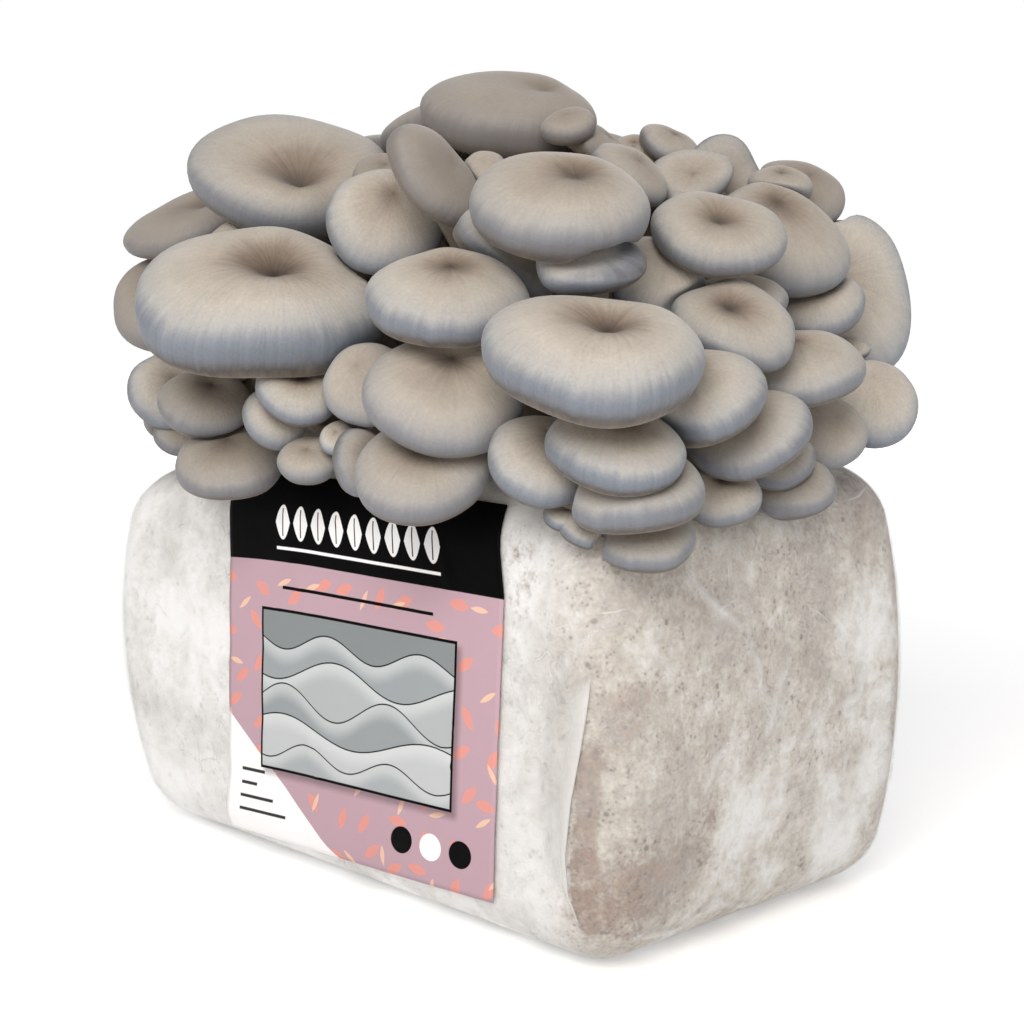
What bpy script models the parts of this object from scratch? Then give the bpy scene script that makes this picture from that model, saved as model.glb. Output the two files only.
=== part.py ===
"""Oyster mushroom grow kit: a block of colonised sawdust in its film bag, with a label on the
front and a crowded cluster of mushrooms growing out of the opening in the top of the bag.

Metres, +Z up. The label faces -Y. The origin is in the middle of the flat underside.
"""

from collections import namedtuple
from math import cos, pi, radians, sin

import bmesh
import bpy
import numpy as np
from mathutils.bvhtree import BVHTree

# Bag and block
BAG_WIDTH = 0.223
BAG_DEPTH = 0.127
BAG_HEIGHT = 0.1295
BAG_ROUNDING = 0.017
BAG_BELLY_ACROSS = 0.0075
BAG_BELLY_DEEP = 0.006
BAG_LEFT_TAPER = 0.10
BAG_LEFT_SAG = 0.11
BAG_WALL = 0.0008
OPENING_HALF_WIDTH = 0.074
OPENING_HALF_DEPTH = 0.040
TOUCH_GAP = 0.00035

# Label on the front
LABEL_LEFT = -0.046
LABEL_RIGHT = OPENING_HALF_WIDTH
LABEL_BOTTOM = 0.0095
LABEL_TOP = 0.1245
LABEL_WALL = 0.0004

# The bag's grid has a line at the label's and the opening's edges and in the rounded corners
X_LINES = (-0.106, -0.092, -OPENING_HALF_WIDTH, LABEL_LEFT, LABEL_RIGHT, 0.094, 0.106)
Y_LINES = (-0.058, -OPENING_HALF_DEPTH, OPENING_HALF_DEPTH, 0.058)
Z_LINES = (LABEL_BOTTOM, 0.030, 0.065, 0.101, LABEL_TOP)

# The line of sight that the caps' places were read along, towards the corner beside the label
SIGHT_AZIMUTH = radians(46)
SIGHT_ELEVATION = radians(8.5)
SIGHT_DISTANCE = 0.632
SIGHT_FOCUS = 1991.0
SIGHT_CENTRE = 512.0
SIGHT_ASIDE = 0.008
SIGHT_HEIGHT = 0.1085

# The cluster is a dome of caps: upright sides round the bag's top, and a round crown
DOME_HALF_WIDTH = 0.116
DOME_HALF_DEPTH = 0.080
DOME_CROWN = 0.098
DOME_WALL_TOP = 0.1345
DOME_SQUARENESS = 3.0
DOME_STEP = 0.001

# Cap section, as shares of the cap's radius (across) and of its thickness (up)
RIM_HEIGHT = 0.42
RIM_ROLL = 0.14
CROWN_POWER = 2.4
PIT_WIDTH = 0.34
PIT_DEPTH = 0.36
PIT_CORE_WIDTH = 0.16
PIT_CORE_DEPTH = 0.20
GILL_ARCH = 0.10
ANCHOR_HEIGHT = 0.24
CAP_SEGMENTS = 10
CAP_RINGS = 6
PRESS_GAP = 0.0013
PRESS_STEPS = 40

# Stems
STEM_RADIUS = 0.115
STEM_LEAST_RADIUS = 0.0028
STEM_FLARE = 1.7
STEM_POINTS = 14
STEM_SIDES = 8
STEM_SINK = 0.004
STEM_LOW = 0.035
STEM_VOXEL = 0.0030
BUNCH_FACES = 380
BUNCH_SPREAD = 0.28
UNTANGLE_STEPS = 20
BUNCHES = {"stems_left": -0.048, "stems_middle": 0.0, "stems_right": 0.048}
BUNCH_REACH = 0.026
BASE_SIZE = (0.023, 0.034, 0.016)

BAG_HALF = np.array((BAG_WIDTH, BAG_DEPTH, BAG_HEIGHT)) / 2
BAG_BELLY = np.array((BAG_BELLY_ACROSS, BAG_BELLY_DEEP))

Cap = namedtuple("Cap", "seen_x seen_y nearer width length thick face roll pit_x pit_y pit wave")

# Each cap as it is seen: the middle of its picture, how much nearer than the dome it stands,
# its real width, its length and thickness as shares of the width, how far its top faces the
# eye and how far it is rolled, in degrees, the place and depth of its hollow, and its waves.
# A cap is pressed out of shape by the caps in the rows above it.
FRONT_CAPS = (
    Cap(287, 168, 0.010, 0.061, 0.92, 0.28, 38, 8, 0.16, -0.42, 0.65, 0.05),
    Cap(262, 294, 0.016, 0.071, 0.90, 0.35, 31, 2, 0.10, 0.05, 0.55, 0.03),
    Cap(593, 348, 0.028, 0.056, 0.90, 0.33, 26, 4, 0.12, 0.08, 0.50, 0.03),
    Cap(449, 294, 0.012, 0.044, 0.90, 0.33, 28, 3, 0.00, 0.40, 0.35, 0.03),
    Cap(563, 202, 0.018, 0.047, 0.90, 0.35, 30, 6, 0.12, 0.25, 0.40, 0.03),
    Cap(718, 230, 0.014, 0.037, 0.90, 0.28, 36, 8, 0.00, 0.10, 0.60, 0.03),
    Cap(736, 321, 0.006, 0.036, 0.90, 0.27, 36, 12, -0.15, 0.20, 0.65, 0.06),
    Cap(782, 240, 0.008, 0.044, 0.90, 0.33, 38, 28, -0.30, 0.40, 0.28, 0.03),
    Cap(446, 393, 0.010, 0.042, 0.92, 0.33, 50, 4, 0.05, 0.45, 0.40, 0.03),
    Cap(508, 110, 0.000, 0.054, 0.90, 0.33, 18, 8, 0.38, 0.10, 0.20, 0.03),
    Cap(438, 174, 0.012, 0.034, 0.90, 0.30, 24, 50, 0.00, 0.10, 0.05, 0.03),
    Cap(387, 220, -0.008, 0.035, 0.95, 0.36, 58, 15, 0.00, 0.40, 0.30, 0.03),
    Cap(592, 256, 0.010, 0.029, 0.90, 0.36, 38, -8, 0.00, 0.40, 0.40, 0.03),
    Cap(658, 279, -0.017, 0.029, 0.95, 0.36, 50, 20, 0.00, 0.40, 0.15, 0.03),
    Cap(631, 172, -0.008, 0.025, 0.90, 0.30, 25, 35, 0.00, 0.20, 0.10, 0.03),
    Cap(817, 304, -0.008, 0.029, 0.90, 0.34, 38, -5, 0.00, 0.40, 0.40, 0.03),
    Cap(798, 366, 0.008, 0.035, 0.90, 0.30, 32, -2, 0.00, 0.40, 0.15, 0.03),
    Cap(367, 384, -0.004, 0.026, 0.95, 0.33, 64, -30, 0.00, 0.40, 0.12, 0.03),
    Cap(422, 468, 0.010, 0.037, 0.92, 0.33, 42, -3, 0.10, 0.30, 0.35, 0.03),
    Cap(206, 402, 0.002, 0.028, 0.92, 0.36, 46, 3, 0.10, 0.40, 0.45, 0.03),
    Cap(228, 462, 0.002, 0.032, 0.92, 0.33, 38, -3, 0.00, 0.40, 0.20, 0.03),
    Cap(616, 445, 0.020, 0.036, 0.92, 0.33, 28, 8, 0.00, 0.40, 0.45, 0.03),
    Cap(544, 459, 0.010, 0.029, 0.95, 0.36, 48, 26, 0.00, 0.40, 0.30, 0.03),
    Cap(686, 397, 0.012, 0.040, 0.92, 0.33, 36, -14, -0.10, 0.40, 0.40, 0.03),
    Cap(747, 431, 0.008, 0.035, 0.92, 0.30, 34, -18, -0.10, 0.40, 0.40, 0.03),
    Cap(634, 487, 0.017, 0.036, 0.92, 0.33, 30, -5, 0.00, 0.40, 0.40, 0.03),
    Cap(647, 537, 0.014, 0.026, 0.92, 0.33, 34, 3, 0.00, 0.40, 0.40, 0.03),
    Cap(508, 248, -0.014, 0.034, 0.92, 0.33, 20, 38, 0.00, 0.20, 0.40, 0.03),
    Cap(190, 220, -0.032, 0.047, 0.92, 0.22, 18, -18, 0.30, 0.00, 0.45, 0.05),
    Cap(168, 297, -0.022, 0.040, 0.95, 0.33, 46, -25, 0.00, 0.20, 0.40, 0.03),
    Cap(803, 190, -0.030, 0.028, 0.92, 0.33, 36, 25, 0.00, 0.20, 0.12, 0.03),
    Cap(853, 289, -0.026, 0.050, 0.95, 0.20, 52, 58, -0.30, -0.35, 0.20, 0.05),
    Cap(875, 401, -0.003, 0.028, 0.95, 0.42, 58, 30, -0.30, 0.30, 0.05, 0.03),
)

# The little caps at the front, each in one piece with the stems that it grows from
FRONT_BUTTONS = (
    Cap(689, 174, -0.004, 0.024, 0.90, 0.24, 46, 5, 0.10, -0.20, 0.15, 0.08),
    Cap(724, 169, -0.008, 0.023, 0.95, 0.15, 76, 10, 0.00, -0.40, 0.25, 0.14),
    Cap(298, 390, 0.004, 0.025, 0.92, 0.33, 40, 10, 0.00, 0.30, 0.40, 0.03),
    Cap(172, 390, -0.012, 0.028, 0.95, 0.36, 62, 30, 0.00, 0.20, 0.30, 0.03),
    Cap(278, 418, 0.004, 0.020, 0.95, 0.42, 58, 30, 0.00, 0.30, 0.40, 0.03),
    Cap(721, 495, 0.004, 0.021, 0.95, 0.36, 46, 0, 0.00, 0.40, 0.40, 0.03),
    Cap(792, 487, 0.002, 0.024, 0.92, 0.36, 40, -15, 0.00, 0.40, 0.40, 0.03),
    Cap(828, 432, -0.002, 0.023, 0.95, 0.40, 62, 30, 0.00, 0.30, 0.10, 0.03),
    Cap(568, 124, 0.014, 0.016, 0.92, 0.42, 30, -10, 0.00, 0.00, 0.00, 0.02),
    Cap(385, 175, -0.025, 0.020, 0.92, 0.36, 38, 0, 0.00, 0.20, 0.20, 0.03),
    Cap(604, 146, -0.012, 0.022, 0.92, 0.30, 12, 35, 0.00, 0.20, 0.20, 0.03),
    Cap(484, 170, -0.010, 0.013, 0.95, 0.42, 60, 0, 0.00, 0.20, 0.05, 0.03),
    Cap(634, 150, -0.024, 0.014, 0.95, 0.36, 40, 0, 0.00, 0.20, 0.20, 0.03),
    Cap(670, 144, -0.006, 0.020, 0.95, 0.33, 20, 25, 0.00, 0.20, 0.20, 0.03),
    Cap(780, 184, -0.010, 0.020, 0.95, 0.36, 24, 5, 0.00, 0.20, 0.20, 0.03),
    Cap(739, 300, -0.014, 0.028, 0.95, 0.30, 28, 0, 0.00, 0.20, 0.20, 0.03),
    Cap(849, 356, -0.006, 0.014, 0.95, 0.42, 60, 0, 0.00, 0.20, 0.20, 0.03),
    Cap(363, 461, 0.000, 0.020, 0.95, 0.36, 45, 75, 0.00, 0.20, 0.20, 0.03),
    Cap(180, 434, -0.018, 0.017, 0.95, 0.36, 42, 25, 0.00, 0.20, 0.20, 0.03),
    Cap(308, 459, 0.002, 0.017, 0.95, 0.40, 50, -5, 0.00, 0.20, 0.20, 0.03),
    Cap(310, 436, -0.006, 0.009, 0.95, 0.42, 60, 0, 0.00, 0.20, 0.20, 0.03),
    Cap(338, 438, -0.004, 0.011, 0.95, 0.42, 60, -20, 0.00, 0.20, 0.20, 0.03),
    Cap(566, 516, 0.008, 0.012, 0.95, 0.36, 30, 14, 0.00, 0.20, 0.20, 0.03),
    Cap(588, 530, 0.012, 0.014, 0.95, 0.36, 34, 20, 0.00, 0.20, 0.20, 0.03),
    Cap(779, 460, 0.000, 0.020, 0.95, 0.36, 42, -18, 0.00, 0.20, 0.20, 0.03),
    Cap(358, 270, -0.016, 0.026, 0.92, 0.33, 40, 0, 0.00, 0.20, 0.20, 0.03),
)

FarCap = namedtuple("FarCap", ("around", "height") + Cap._fields[2:])

# The caps that the photograph doesn't show, each where a level line towards the middle of the
# kit meets the dome: the way it faces, as degrees round from the label, and its height
FAR_CAPS = (
    FarCap(205, 0.1655, 0.010, 0.060, 0.92, 0.32, 38, -3, 0.05, 0.10, 0.55, 0.04),
    FarCap(262, 0.2145, 0.004, 0.048, 0.92, 0.32, 34, 6, 0.10, 0.10, 0.50, 0.04),
    FarCap(176, 0.1675, 0.006, 0.052, 0.92, 0.33, 36, 4, 0.00, 0.30, 0.45, 0.03),
    FarCap(272, 0.1675, 0.006, 0.054, 0.92, 0.33, 38, 5, 0.10, 0.20, 0.50, 0.03),
    FarCap(255, 0.2285, 0.000, 0.042, 0.92, 0.33, 22, 8, 0.00, 0.20, 0.45, 0.04),
    FarCap(216, 0.1935, 0.006, 0.050, 0.92, 0.33, 36, -5, 0.00, 0.20, 0.45, 0.04),
    FarCap(165, 0.2155, 0.000, 0.044, 0.92, 0.33, 30, 10, 0.00, 0.20, 0.45, 0.03),
    FarCap(182, 0.1905, 0.006, 0.046, 0.92, 0.33, 34, 8, 0.00, 0.20, 0.45, 0.03),
    FarCap(240, 0.1915, 0.006, 0.046, 0.92, 0.33, 38, -4, 0.00, 0.30, 0.45, 0.03),
    FarCap(274, 0.1895, 0.006, 0.044, 0.92, 0.33, 36, -8, 0.00, 0.30, 0.45, 0.03),
    FarCap(152, 0.1915, 0.002, 0.042, 0.92, 0.33, 36, 6, 0.00, 0.30, 0.45, 0.03),
    FarCap(229, 0.1635, 0.004, 0.048, 0.92, 0.33, 40, 5, 0.00, 0.30, 0.45, 0.03),
    FarCap(250, 0.1655, 0.002, 0.046, 0.92, 0.33, 40, -5, 0.00, 0.30, 0.45, 0.03),
    FarCap(150, 0.1655, 0.004, 0.048, 0.92, 0.33, 40, 6, 0.00, 0.30, 0.45, 0.03),
    FarCap(131, 0.1435, -0.002, 0.038, 0.92, 0.33, 40, 4, 0.00, 0.30, 0.45, 0.03),
    FarCap(163, 0.1395, 0.006, 0.042, 0.92, 0.34, 42, -4, 0.00, 0.40, 0.45, 0.03),
    FarCap(191, 0.1385, 0.006, 0.042, 0.92, 0.34, 42, 5, 0.00, 0.40, 0.45, 0.03),
    FarCap(217, 0.1375, 0.006, 0.044, 0.92, 0.34, 42, -3, 0.00, 0.40, 0.45, 0.03),
    FarCap(260, 0.1395, 0.005, 0.042, 0.92, 0.34, 42, 3, 0.00, 0.40, 0.45, 0.03),
    FarCap(284, 0.1385, 0.005, 0.040, 0.92, 0.34, 42, -5, 0.00, 0.40, 0.45, 0.03),
    FarCap(205, 0.2165, 0.002, 0.040, 0.92, 0.33, 32, -6, 0.00, 0.20, 0.45, 0.03),
)
FAR_BUTTONS = (
    FarCap(322, 0.1575, -0.016, 0.034, 0.92, 0.34, 36, 0, 0.00, 0.20, 0.20, 0.03),
    FarCap(147, 0.1415, 0.002, 0.030, 0.95, 0.36, 42, 5, 0.00, 0.20, 0.20, 0.03),
    FarCap(238, 0.1395, 0.002, 0.034, 0.95, 0.36, 42, 5, 0.00, 0.20, 0.20, 0.03),
    FarCap(301, 0.1480, -0.008, 0.024, 0.95, 0.36, 42, 5, 0.00, 0.20, 0.20, 0.03),
    FarCap(178, 0.1275, 0.008, 0.018, 0.95, 0.38, 45, 5, 0.00, 0.20, 0.20, 0.03),
    FarCap(204, 0.1265, 0.008, 0.020, 0.95, 0.38, 45, -5, 0.00, 0.20, 0.20, 0.03),
    FarCap(271, 0.1275, 0.006, 0.018, 0.95, 0.38, 45, 0, 0.00, 0.20, 0.20, 0.03),
    FarCap(80, 0.2115, -0.030, 0.036, 0.92, 0.32, 16, 6, 0.00, 0.10, 0.40, 0.04),
    FarCap(112, 0.2055, -0.012, 0.030, 0.92, 0.34, 24, -5, 0.00, 0.10, 0.40, 0.04),
    FarCap(338, 0.1855, -0.008, 0.034, 0.92, 0.33, 30, 4, 0.00, 0.20, 0.40, 0.03),
    FarCap(316, 0.1955, -0.004, 0.036, 0.92, 0.33, 32, -6, 0.00, 0.20, 0.40, 0.03),
    FarCap(304, 0.1705, -0.004, 0.034, 0.92, 0.33, 36, 4, 0.00, 0.20, 0.40, 0.03),
    FarCap(326, 0.2070, -0.030, 0.032, 0.92, 0.33, 22, 8, 0.00, 0.10, 0.40, 0.03),
)


def front_sight(row):
    """Where the eye is for a cap at the front, its line of sight, and the way to its right."""
    right = np.array((cos(SIGHT_AZIMUTH), sin(SIGHT_AZIMUTH), 0.0))
    level = np.array((sin(SIGHT_AZIMUTH), -cos(SIGHT_AZIMUTH), 0.0))
    back = level * cos(SIGHT_ELEVATION) + np.array((0.0, 0.0, sin(SIGHT_ELEVATION)))
    up = np.cross(back, right)
    eye = right * SIGHT_ASIDE + np.array((0.0, 0.0, SIGHT_HEIGHT)) + back * SIGHT_DISTANCE
    ray = right * (row.seen_x - SIGHT_CENTRE) + up * (SIGHT_CENTRE - row.seen_y)
    ray = ray - back * SIGHT_FOCUS
    return eye, ray / np.linalg.norm(ray), right


def far_sight(row):
    """The same for a cap that the photograph doesn't show."""
    around = radians(row.around)
    right = np.array((cos(around), sin(around), 0.0))
    ray = np.array((-sin(around), cos(around), 0.0))
    return np.array((0.0, 0.0, row.height)) - ray * SIGHT_DISTANCE, ray, right


def outside_dome(points):
    """Below 0 inside the dome that the middles of the caps lie on, above 0 outside it."""
    x, y, z = points.T
    square = (np.abs(x) / DOME_HALF_WIDTH) ** DOME_SQUARENESS
    square = square + (np.abs(y) / DOME_HALF_DEPTH) ** DOME_SQUARENESS
    crown = np.maximum(0.0, z - DOME_WALL_TOP) / DOME_CROWN
    return square ** (2 / DOME_SQUARENESS) + crown**2 - 1


class Mushroom:
    """One mushroom: its cap's frame and section, and the path of its stem."""

    def __init__(self, row, sight, number):
        self.row = row
        self.number = number
        eye, ray, right = sight(row)
        reach = np.arange(0.6 * SIGHT_DISTANCE, 1.4 * SIGHT_DISTANCE, DOME_STEP)
        depth = outside_dome(eye + reach[:, None] * ray)
        first = int(np.argmax(depth < 0)) if depth.min() < 0 else int(np.argmin(depth))
        self.centre = eye + (reach[first] - row.nearer) * ray

        right = right - ray * (right @ ray)
        right = right / np.linalg.norm(right)
        up = np.cross(right, ray)
        roll = radians(row.roll)
        face = radians(row.face)
        self.x_axis = right * cos(roll) - up * sin(roll)
        rolled_up = up * cos(roll) + right * sin(roll)
        self.z_axis = rolled_up * cos(face) - ray * sin(face)
        self.y_axis = np.cross(self.z_axis, self.x_axis)

        self.half_width = row.width / 2
        self.half_length = self.half_width * row.length
        self.thick = row.width * row.thick
        self.hollow = np.array((row.pit_x * self.half_width, row.pit_y * self.half_length))
        self.size = row.width * 0.75
        self.anchor = self.place(self.hollow[0], self.hollow[1], ANCHOR_HEIGHT * self.thick)

    def place(self, x, y, z):
        """From the cap's own x, y and height over its rim to the kit's frame."""
        up = np.asarray(z) - self.thick / 2
        point = np.multiply.outer(x, self.x_axis) + np.multiply.outer(y, self.y_axis)
        return self.centre + point + np.multiply.outer(up, self.z_axis)

    def outline(self, angle):
        """How far the rim is from the hollow, all round."""
        dx, dy = np.cos(angle), np.sin(angle)
        a, b = self.half_width, self.half_length
        square = (dx / a) ** 2 + (dy / b) ** 2
        cross = self.hollow[0] * dx / a**2 + self.hollow[1] * dy / b**2
        inside = (self.hollow[0] / a) ** 2 + (self.hollow[1] / b) ** 2 - 1
        reach = (-cross + np.sqrt(cross**2 - square * inside)) / square
        turn = 1.7 * self.number
        waves = np.sin(2 * angle + turn) + 0.7 * np.sin(3 * angle - 2 * turn)
        return reach * (1 + self.row.wave * waves)

    def lift(self, share, angle):
        """How much the rim's waves raise the cap."""
        turn = 2.3 * self.number
        waves = np.sin(2 * angle - turn) + 0.6 * np.sin(4 * angle + turn)
        return self.row.wave * self.half_width * share**2 * waves

    def top(self, share):
        dome = np.sqrt(np.maximum(0.0, 1 - np.minimum(share, 1.0) ** CROWN_POWER))
        wide = PIT_DEPTH * np.exp(-((share / PIT_WIDTH) ** 2))
        core = PIT_CORE_DEPTH * np.exp(-((share / PIT_CORE_WIDTH) ** 2))
        height = RIM_HEIGHT + (1 - RIM_HEIGHT) * dome - self.row.pit * (wide + core)
        return height * self.thick

    def underside(self, share):
        edge = 1 - RIM_ROLL
        arch = GILL_ARCH * (1 - ((2 * share - edge) / edge) ** 2)
        roll = np.clip((share - edge) / RIM_ROLL, 0.0, 1.0)
        rim = RIM_HEIGHT * (1 - np.sqrt(1 - roll**2))
        return np.where(share < edge, arch, rim) * self.thick

    def section(self, step):
        """The cap's section from the hollow (step 0) over the rim to the stem (step 1)."""
        edge = 1 - RIM_ROLL
        over = 0.5 * pi * np.clip(step * 1.5, 0, 1) ** 1.85
        share = np.sin(over) ** (2 / CROWN_POWER)
        height = self.top(share)
        rolled = 0.5 * pi * np.clip(step * 6 - 4, 0, 1)
        below = np.clip(step * 6 - 5, 0, 1)
        share = np.where(step > 2 / 3, edge + RIM_ROLL * np.cos(rolled), share)
        height = np.where(step > 2 / 3, RIM_HEIGHT * self.thick * (1 - np.sin(rolled)), height)
        share = np.where(below > 0, edge * (1 - below), share)
        height = np.where(below > 0, self.underside(share), height)
        return share, height

    def skin(self, step, angle):
        """Points on the cap's surface."""
        share, height = self.section(step)
        out = share * self.outline(angle)
        x = self.hollow[0] + out * np.cos(angle)
        y = self.hollow[1] + out * np.sin(angle)
        return self.place(x, y, height + self.lift(share, angle))

    def holds(self, points, gap):
        """Which points are in the cap, or nearer to it than the gap."""
        local = points - self.centre
        x = local @ self.x_axis - self.hollow[0]
        y = local @ self.y_axis - self.hollow[1]
        z = local @ self.z_axis + self.thick / 2
        angle = np.arctan2(y, x)
        share = np.maximum(np.hypot(x, y) - gap, 0.0) / self.outline(angle)
        z = z - self.lift(np.minimum(share, 1.0), angle)
        under = z < self.top(share) + gap
        over = z > self.underside(np.minimum(share, 1.0)) - gap
        return (share < 1) & under & over

    def grow_stem(self, bunch_x):
        """The stem's middle line, from inside the cap to the block, and its radius along it."""
        across = self.centre[:2] - (bunch_x, 0.0)
        foot_across = np.clip(across * BUNCH_SPREAD, -BUNCH_REACH, BUNCH_REACH)
        foot = np.array((bunch_x + foot_across[0], foot_across[1], BAG_HEIGHT - STEM_SINK))
        run = self.anchor - foot
        length = np.linalg.norm(run)
        low = np.clip((BAG_HEIGHT + STEM_LOW - self.anchor[2]) / STEM_LOW, 0.0, 1.0)
        inward = -run * (1, 1, 0) / max(np.hypot(run[0], run[1]), 0.001)
        leave = 0.7 * inward - 0.6 * self.z_axis * (1 - low) + np.array((0, 0, 0.35 * low))
        rise = np.array((0.25 * run[0], 0.25 * run[1], 0.30 * length + 0.020 * low))
        ends = (self.anchor, self.anchor + leave * 0.34 * length, foot + rise, foot)
        step = np.linspace(0, 1, STEM_POINTS)[:, None]
        weights = ((1 - step) ** 3, 3 * step * (1 - step) ** 2, 3 * step**2 * (1 - step), step**3)
        line = sum(weight * end for weight, end in zip(weights, ends))
        radius = max(STEM_LEAST_RADIUS, STEM_RADIUS * self.row.width)
        step = step[:, 0]
        flare = (STEM_FLARE - 1) * np.clip(1 - step / 0.35, 0, 1) ** 1.5
        self.stem_radius = radius * (1 + flare + 0.25 * step)
        over_bag = BAG_HEIGHT + BAG_WALL + self.stem_radius
        beside = np.abs(line[:, 0]) > OPENING_HALF_WIDTH - self.stem_radius
        beside |= np.abs(line[:, 1]) > OPENING_HALF_DEPTH - self.stem_radius
        beside &= np.abs(line[:, 0]) < BAG_HALF[0] - STEM_SINK
        beside &= np.abs(line[:, 1]) < BAG_HALF[1] - STEM_SINK
        line[:, 2] = np.where(beside, np.maximum(line[:, 2], over_bag), line[:, 2])
        self.stem = line

    def stem_holds(self, points, gap):
        """Which points are in the stem, or nearer to it than the gap."""
        held = np.zeros(len(points), bool)
        for start, end, radius in zip(self.stem, self.stem[1:], self.stem_radius):
            along = end - start
            share = np.clip((points - start) @ along / (along @ along), 0, 1)
            apart = np.linalg.norm(points - start - share[:, None] * along, axis=1)
            held |= apart < radius + gap
        return held


def press(points, anchor, tests):
    """Draw points in towards the anchor, just far enough that no test holds any of them."""
    steps = np.linspace(0, 1, PRESS_STEPS + 1)[1:]
    paths = anchor + steps[:, None, None] * (points - anchor)
    held = np.zeros(paths.shape[:2], bool)
    for test in tests:
        held |= test(paths.reshape(-1, 3), PRESS_GAP).reshape(held.shape)
    first_held = np.argmax(held, axis=0)
    clear = steps[np.maximum(first_held - 1, 0)]
    reach = np.where(held.any(axis=0), clear, 1.0)
    return anchor + reach[:, None] * (points - anchor)


def belly_and_taper(level):
    """How much the bag is wider and deeper at a height from -1 to 1, and narrower on its left."""
    belly = 1 + (1 - level[:, None] ** 2) * BAG_BELLY / BAG_HALF[:2]
    return belly, 1 - BAG_LEFT_TAPER * (0.5 - 0.5 * level) ** 2


def filled_out(points):
    """From a plain rounded box, its middle at the origin, to the form of the filled bag."""
    belly, taper = belly_and_taper(points[:, 2] / BAG_HALF[2])
    x, y = (points[:, :2] * belly).T
    x = np.where(x < 0, x * taper, x)
    sag = BAG_LEFT_SAG * np.maximum(0.0, -x / BAG_HALF[0]) ** 2
    return np.stack((x, y, (points[:, 2] + BAG_HALF[2]) * (1 - sag)), axis=1)


def drawn_in(points):
    """From the form of the filled bag back to the plain rounded box."""
    x, y, z = points.T
    sag = BAG_LEFT_SAG * np.maximum(0.0, -x / BAG_HALF[0]) ** 2
    z = z / (1 - sag) - BAG_HALF[2]
    belly, taper = belly_and_taper(np.clip(z / BAG_HALF[2], -1, 1))
    x = np.where(x < 0, x / taper, x)
    return np.stack((x / belly[:, 0], y / belly[:, 1], z), axis=1)


def bag_holds(points, gap):
    """Which points are in the bag, or nearer to it than the gap."""
    out = np.maximum(np.abs(drawn_in(points)) - BAG_HALF + BAG_ROUNDING, 0.0)
    return np.linalg.norm(out, axis=1) < BAG_ROUNDING + gap


def grow_cluster():
    """All the mushrooms, the caps that are nodes of their own first."""
    rows = [(row, front_sight) for row in FRONT_CAPS] + [(row, far_sight) for row in FAR_CAPS]
    caps = [Mushroom(row, sight, number) for number, (row, sight) in enumerate(rows)]
    rows = [(row, front_sight) for row in FRONT_BUTTONS]
    rows += [(row, far_sight) for row in FAR_BUTTONS]
    buttons = [Mushroom(row, sight, number) for number, (row, sight) in enumerate(rows)]
    for mushroom in caps + buttons:
        distance = {name: abs(mushroom.centre[0] - x) for name, x in BUNCHES.items()}
        mushroom.bunch = min(distance, key=distance.get)
        mushroom.grow_stem(BUNCHES[mushroom.bunch])
    return caps, buttons


def material(name, colour, roughness):
    new = bpy.data.materials.new(name)
    new.use_nodes = True
    shader = new.node_tree.nodes["Principled BSDF"]
    shader.inputs["Base Color"].default_value = (*colour, 1.0)
    shader.inputs["Roughness"].default_value = roughness
    return new


def add_object(mesh, name, collection, look=None):
    new = bpy.data.objects.new(name, mesh)
    collection.objects.link(new)
    if look:
        mesh.materials.append(look)
    else:
        new.hide_render = True
        new.display_type = "WIRE"
    return new


def to_mesh(bm, name):
    mesh = bpy.data.meshes.new(name)
    bm.to_mesh(mesh)
    bm.free()
    mesh.shade_smooth()
    return mesh


def swollen(mesh, name, gap):
    """A copy of a mesh with its skin moved out, to cut a neighbour clear of it."""
    bm = bmesh.new()
    bm.from_mesh(mesh)
    bm.normal_update()
    offsets = [vertex.normal * gap * vertex.calc_shell_factor() for vertex in bm.verts]
    for vertex, offset in zip(bm.verts, offsets):
        vertex.co += offset
    return to_mesh(bm, name)


def bag_form(name, inset, keeps):
    """The bag's rounded box, drawn in by the inset, with only the faces that are kept."""
    bm = bmesh.new()
    bmesh.ops.create_cube(bm, size=1.0)
    bmesh.ops.scale(bm, vec=(BAG_WIDTH, BAG_DEPTH, BAG_HEIGHT), verts=bm.verts)
    bmesh.ops.translate(bm, vec=(0, 0, BAG_HEIGHT / 2), verts=bm.verts)
    for axis, lines in enumerate((X_LINES, Y_LINES, Z_LINES)):
        normal = [0, 0, 0]
        normal[axis] = 1
        for line in lines:
            point = [line * share for share in normal]
            geometry = bm.verts[:] + bm.edges[:] + bm.faces[:]
            bmesh.ops.bisect_plane(bm, geom=geometry, plane_co=point, plane_no=normal)
    left_out = [face for face in bm.faces if not keeps(face.calc_center_median())]
    bmesh.ops.delete(bm, geom=left_out, context="FACES")
    places = np.array([vertex.co for vertex in bm.verts]) - (0, 0, BAG_HALF[2])
    core = np.clip(places, BAG_ROUNDING - BAG_HALF, BAG_HALF - BAG_ROUNDING)
    out = places - core
    out *= (BAG_ROUNDING - inset) / np.linalg.norm(out, axis=1)[:, None]
    for vertex, place in zip(bm.verts, filled_out(core + out)):
        vertex.co = place
    bmesh.ops.triangulate(bm, faces=bm.faces)
    return to_mesh(bm, name)


def beside_opening(middle):
    aside = abs(middle.x) > OPENING_HALF_WIDTH or abs(middle.y) > OPENING_HALF_DEPTH
    return aside or middle.z < 0.9 * BAG_HEIGHT


def under_label(middle):
    across = LABEL_LEFT < middle.x < LABEL_RIGHT
    return across and LABEL_BOTTOM < middle.z < LABEL_TOP and middle.y < -0.49 * BAG_DEPTH


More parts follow.
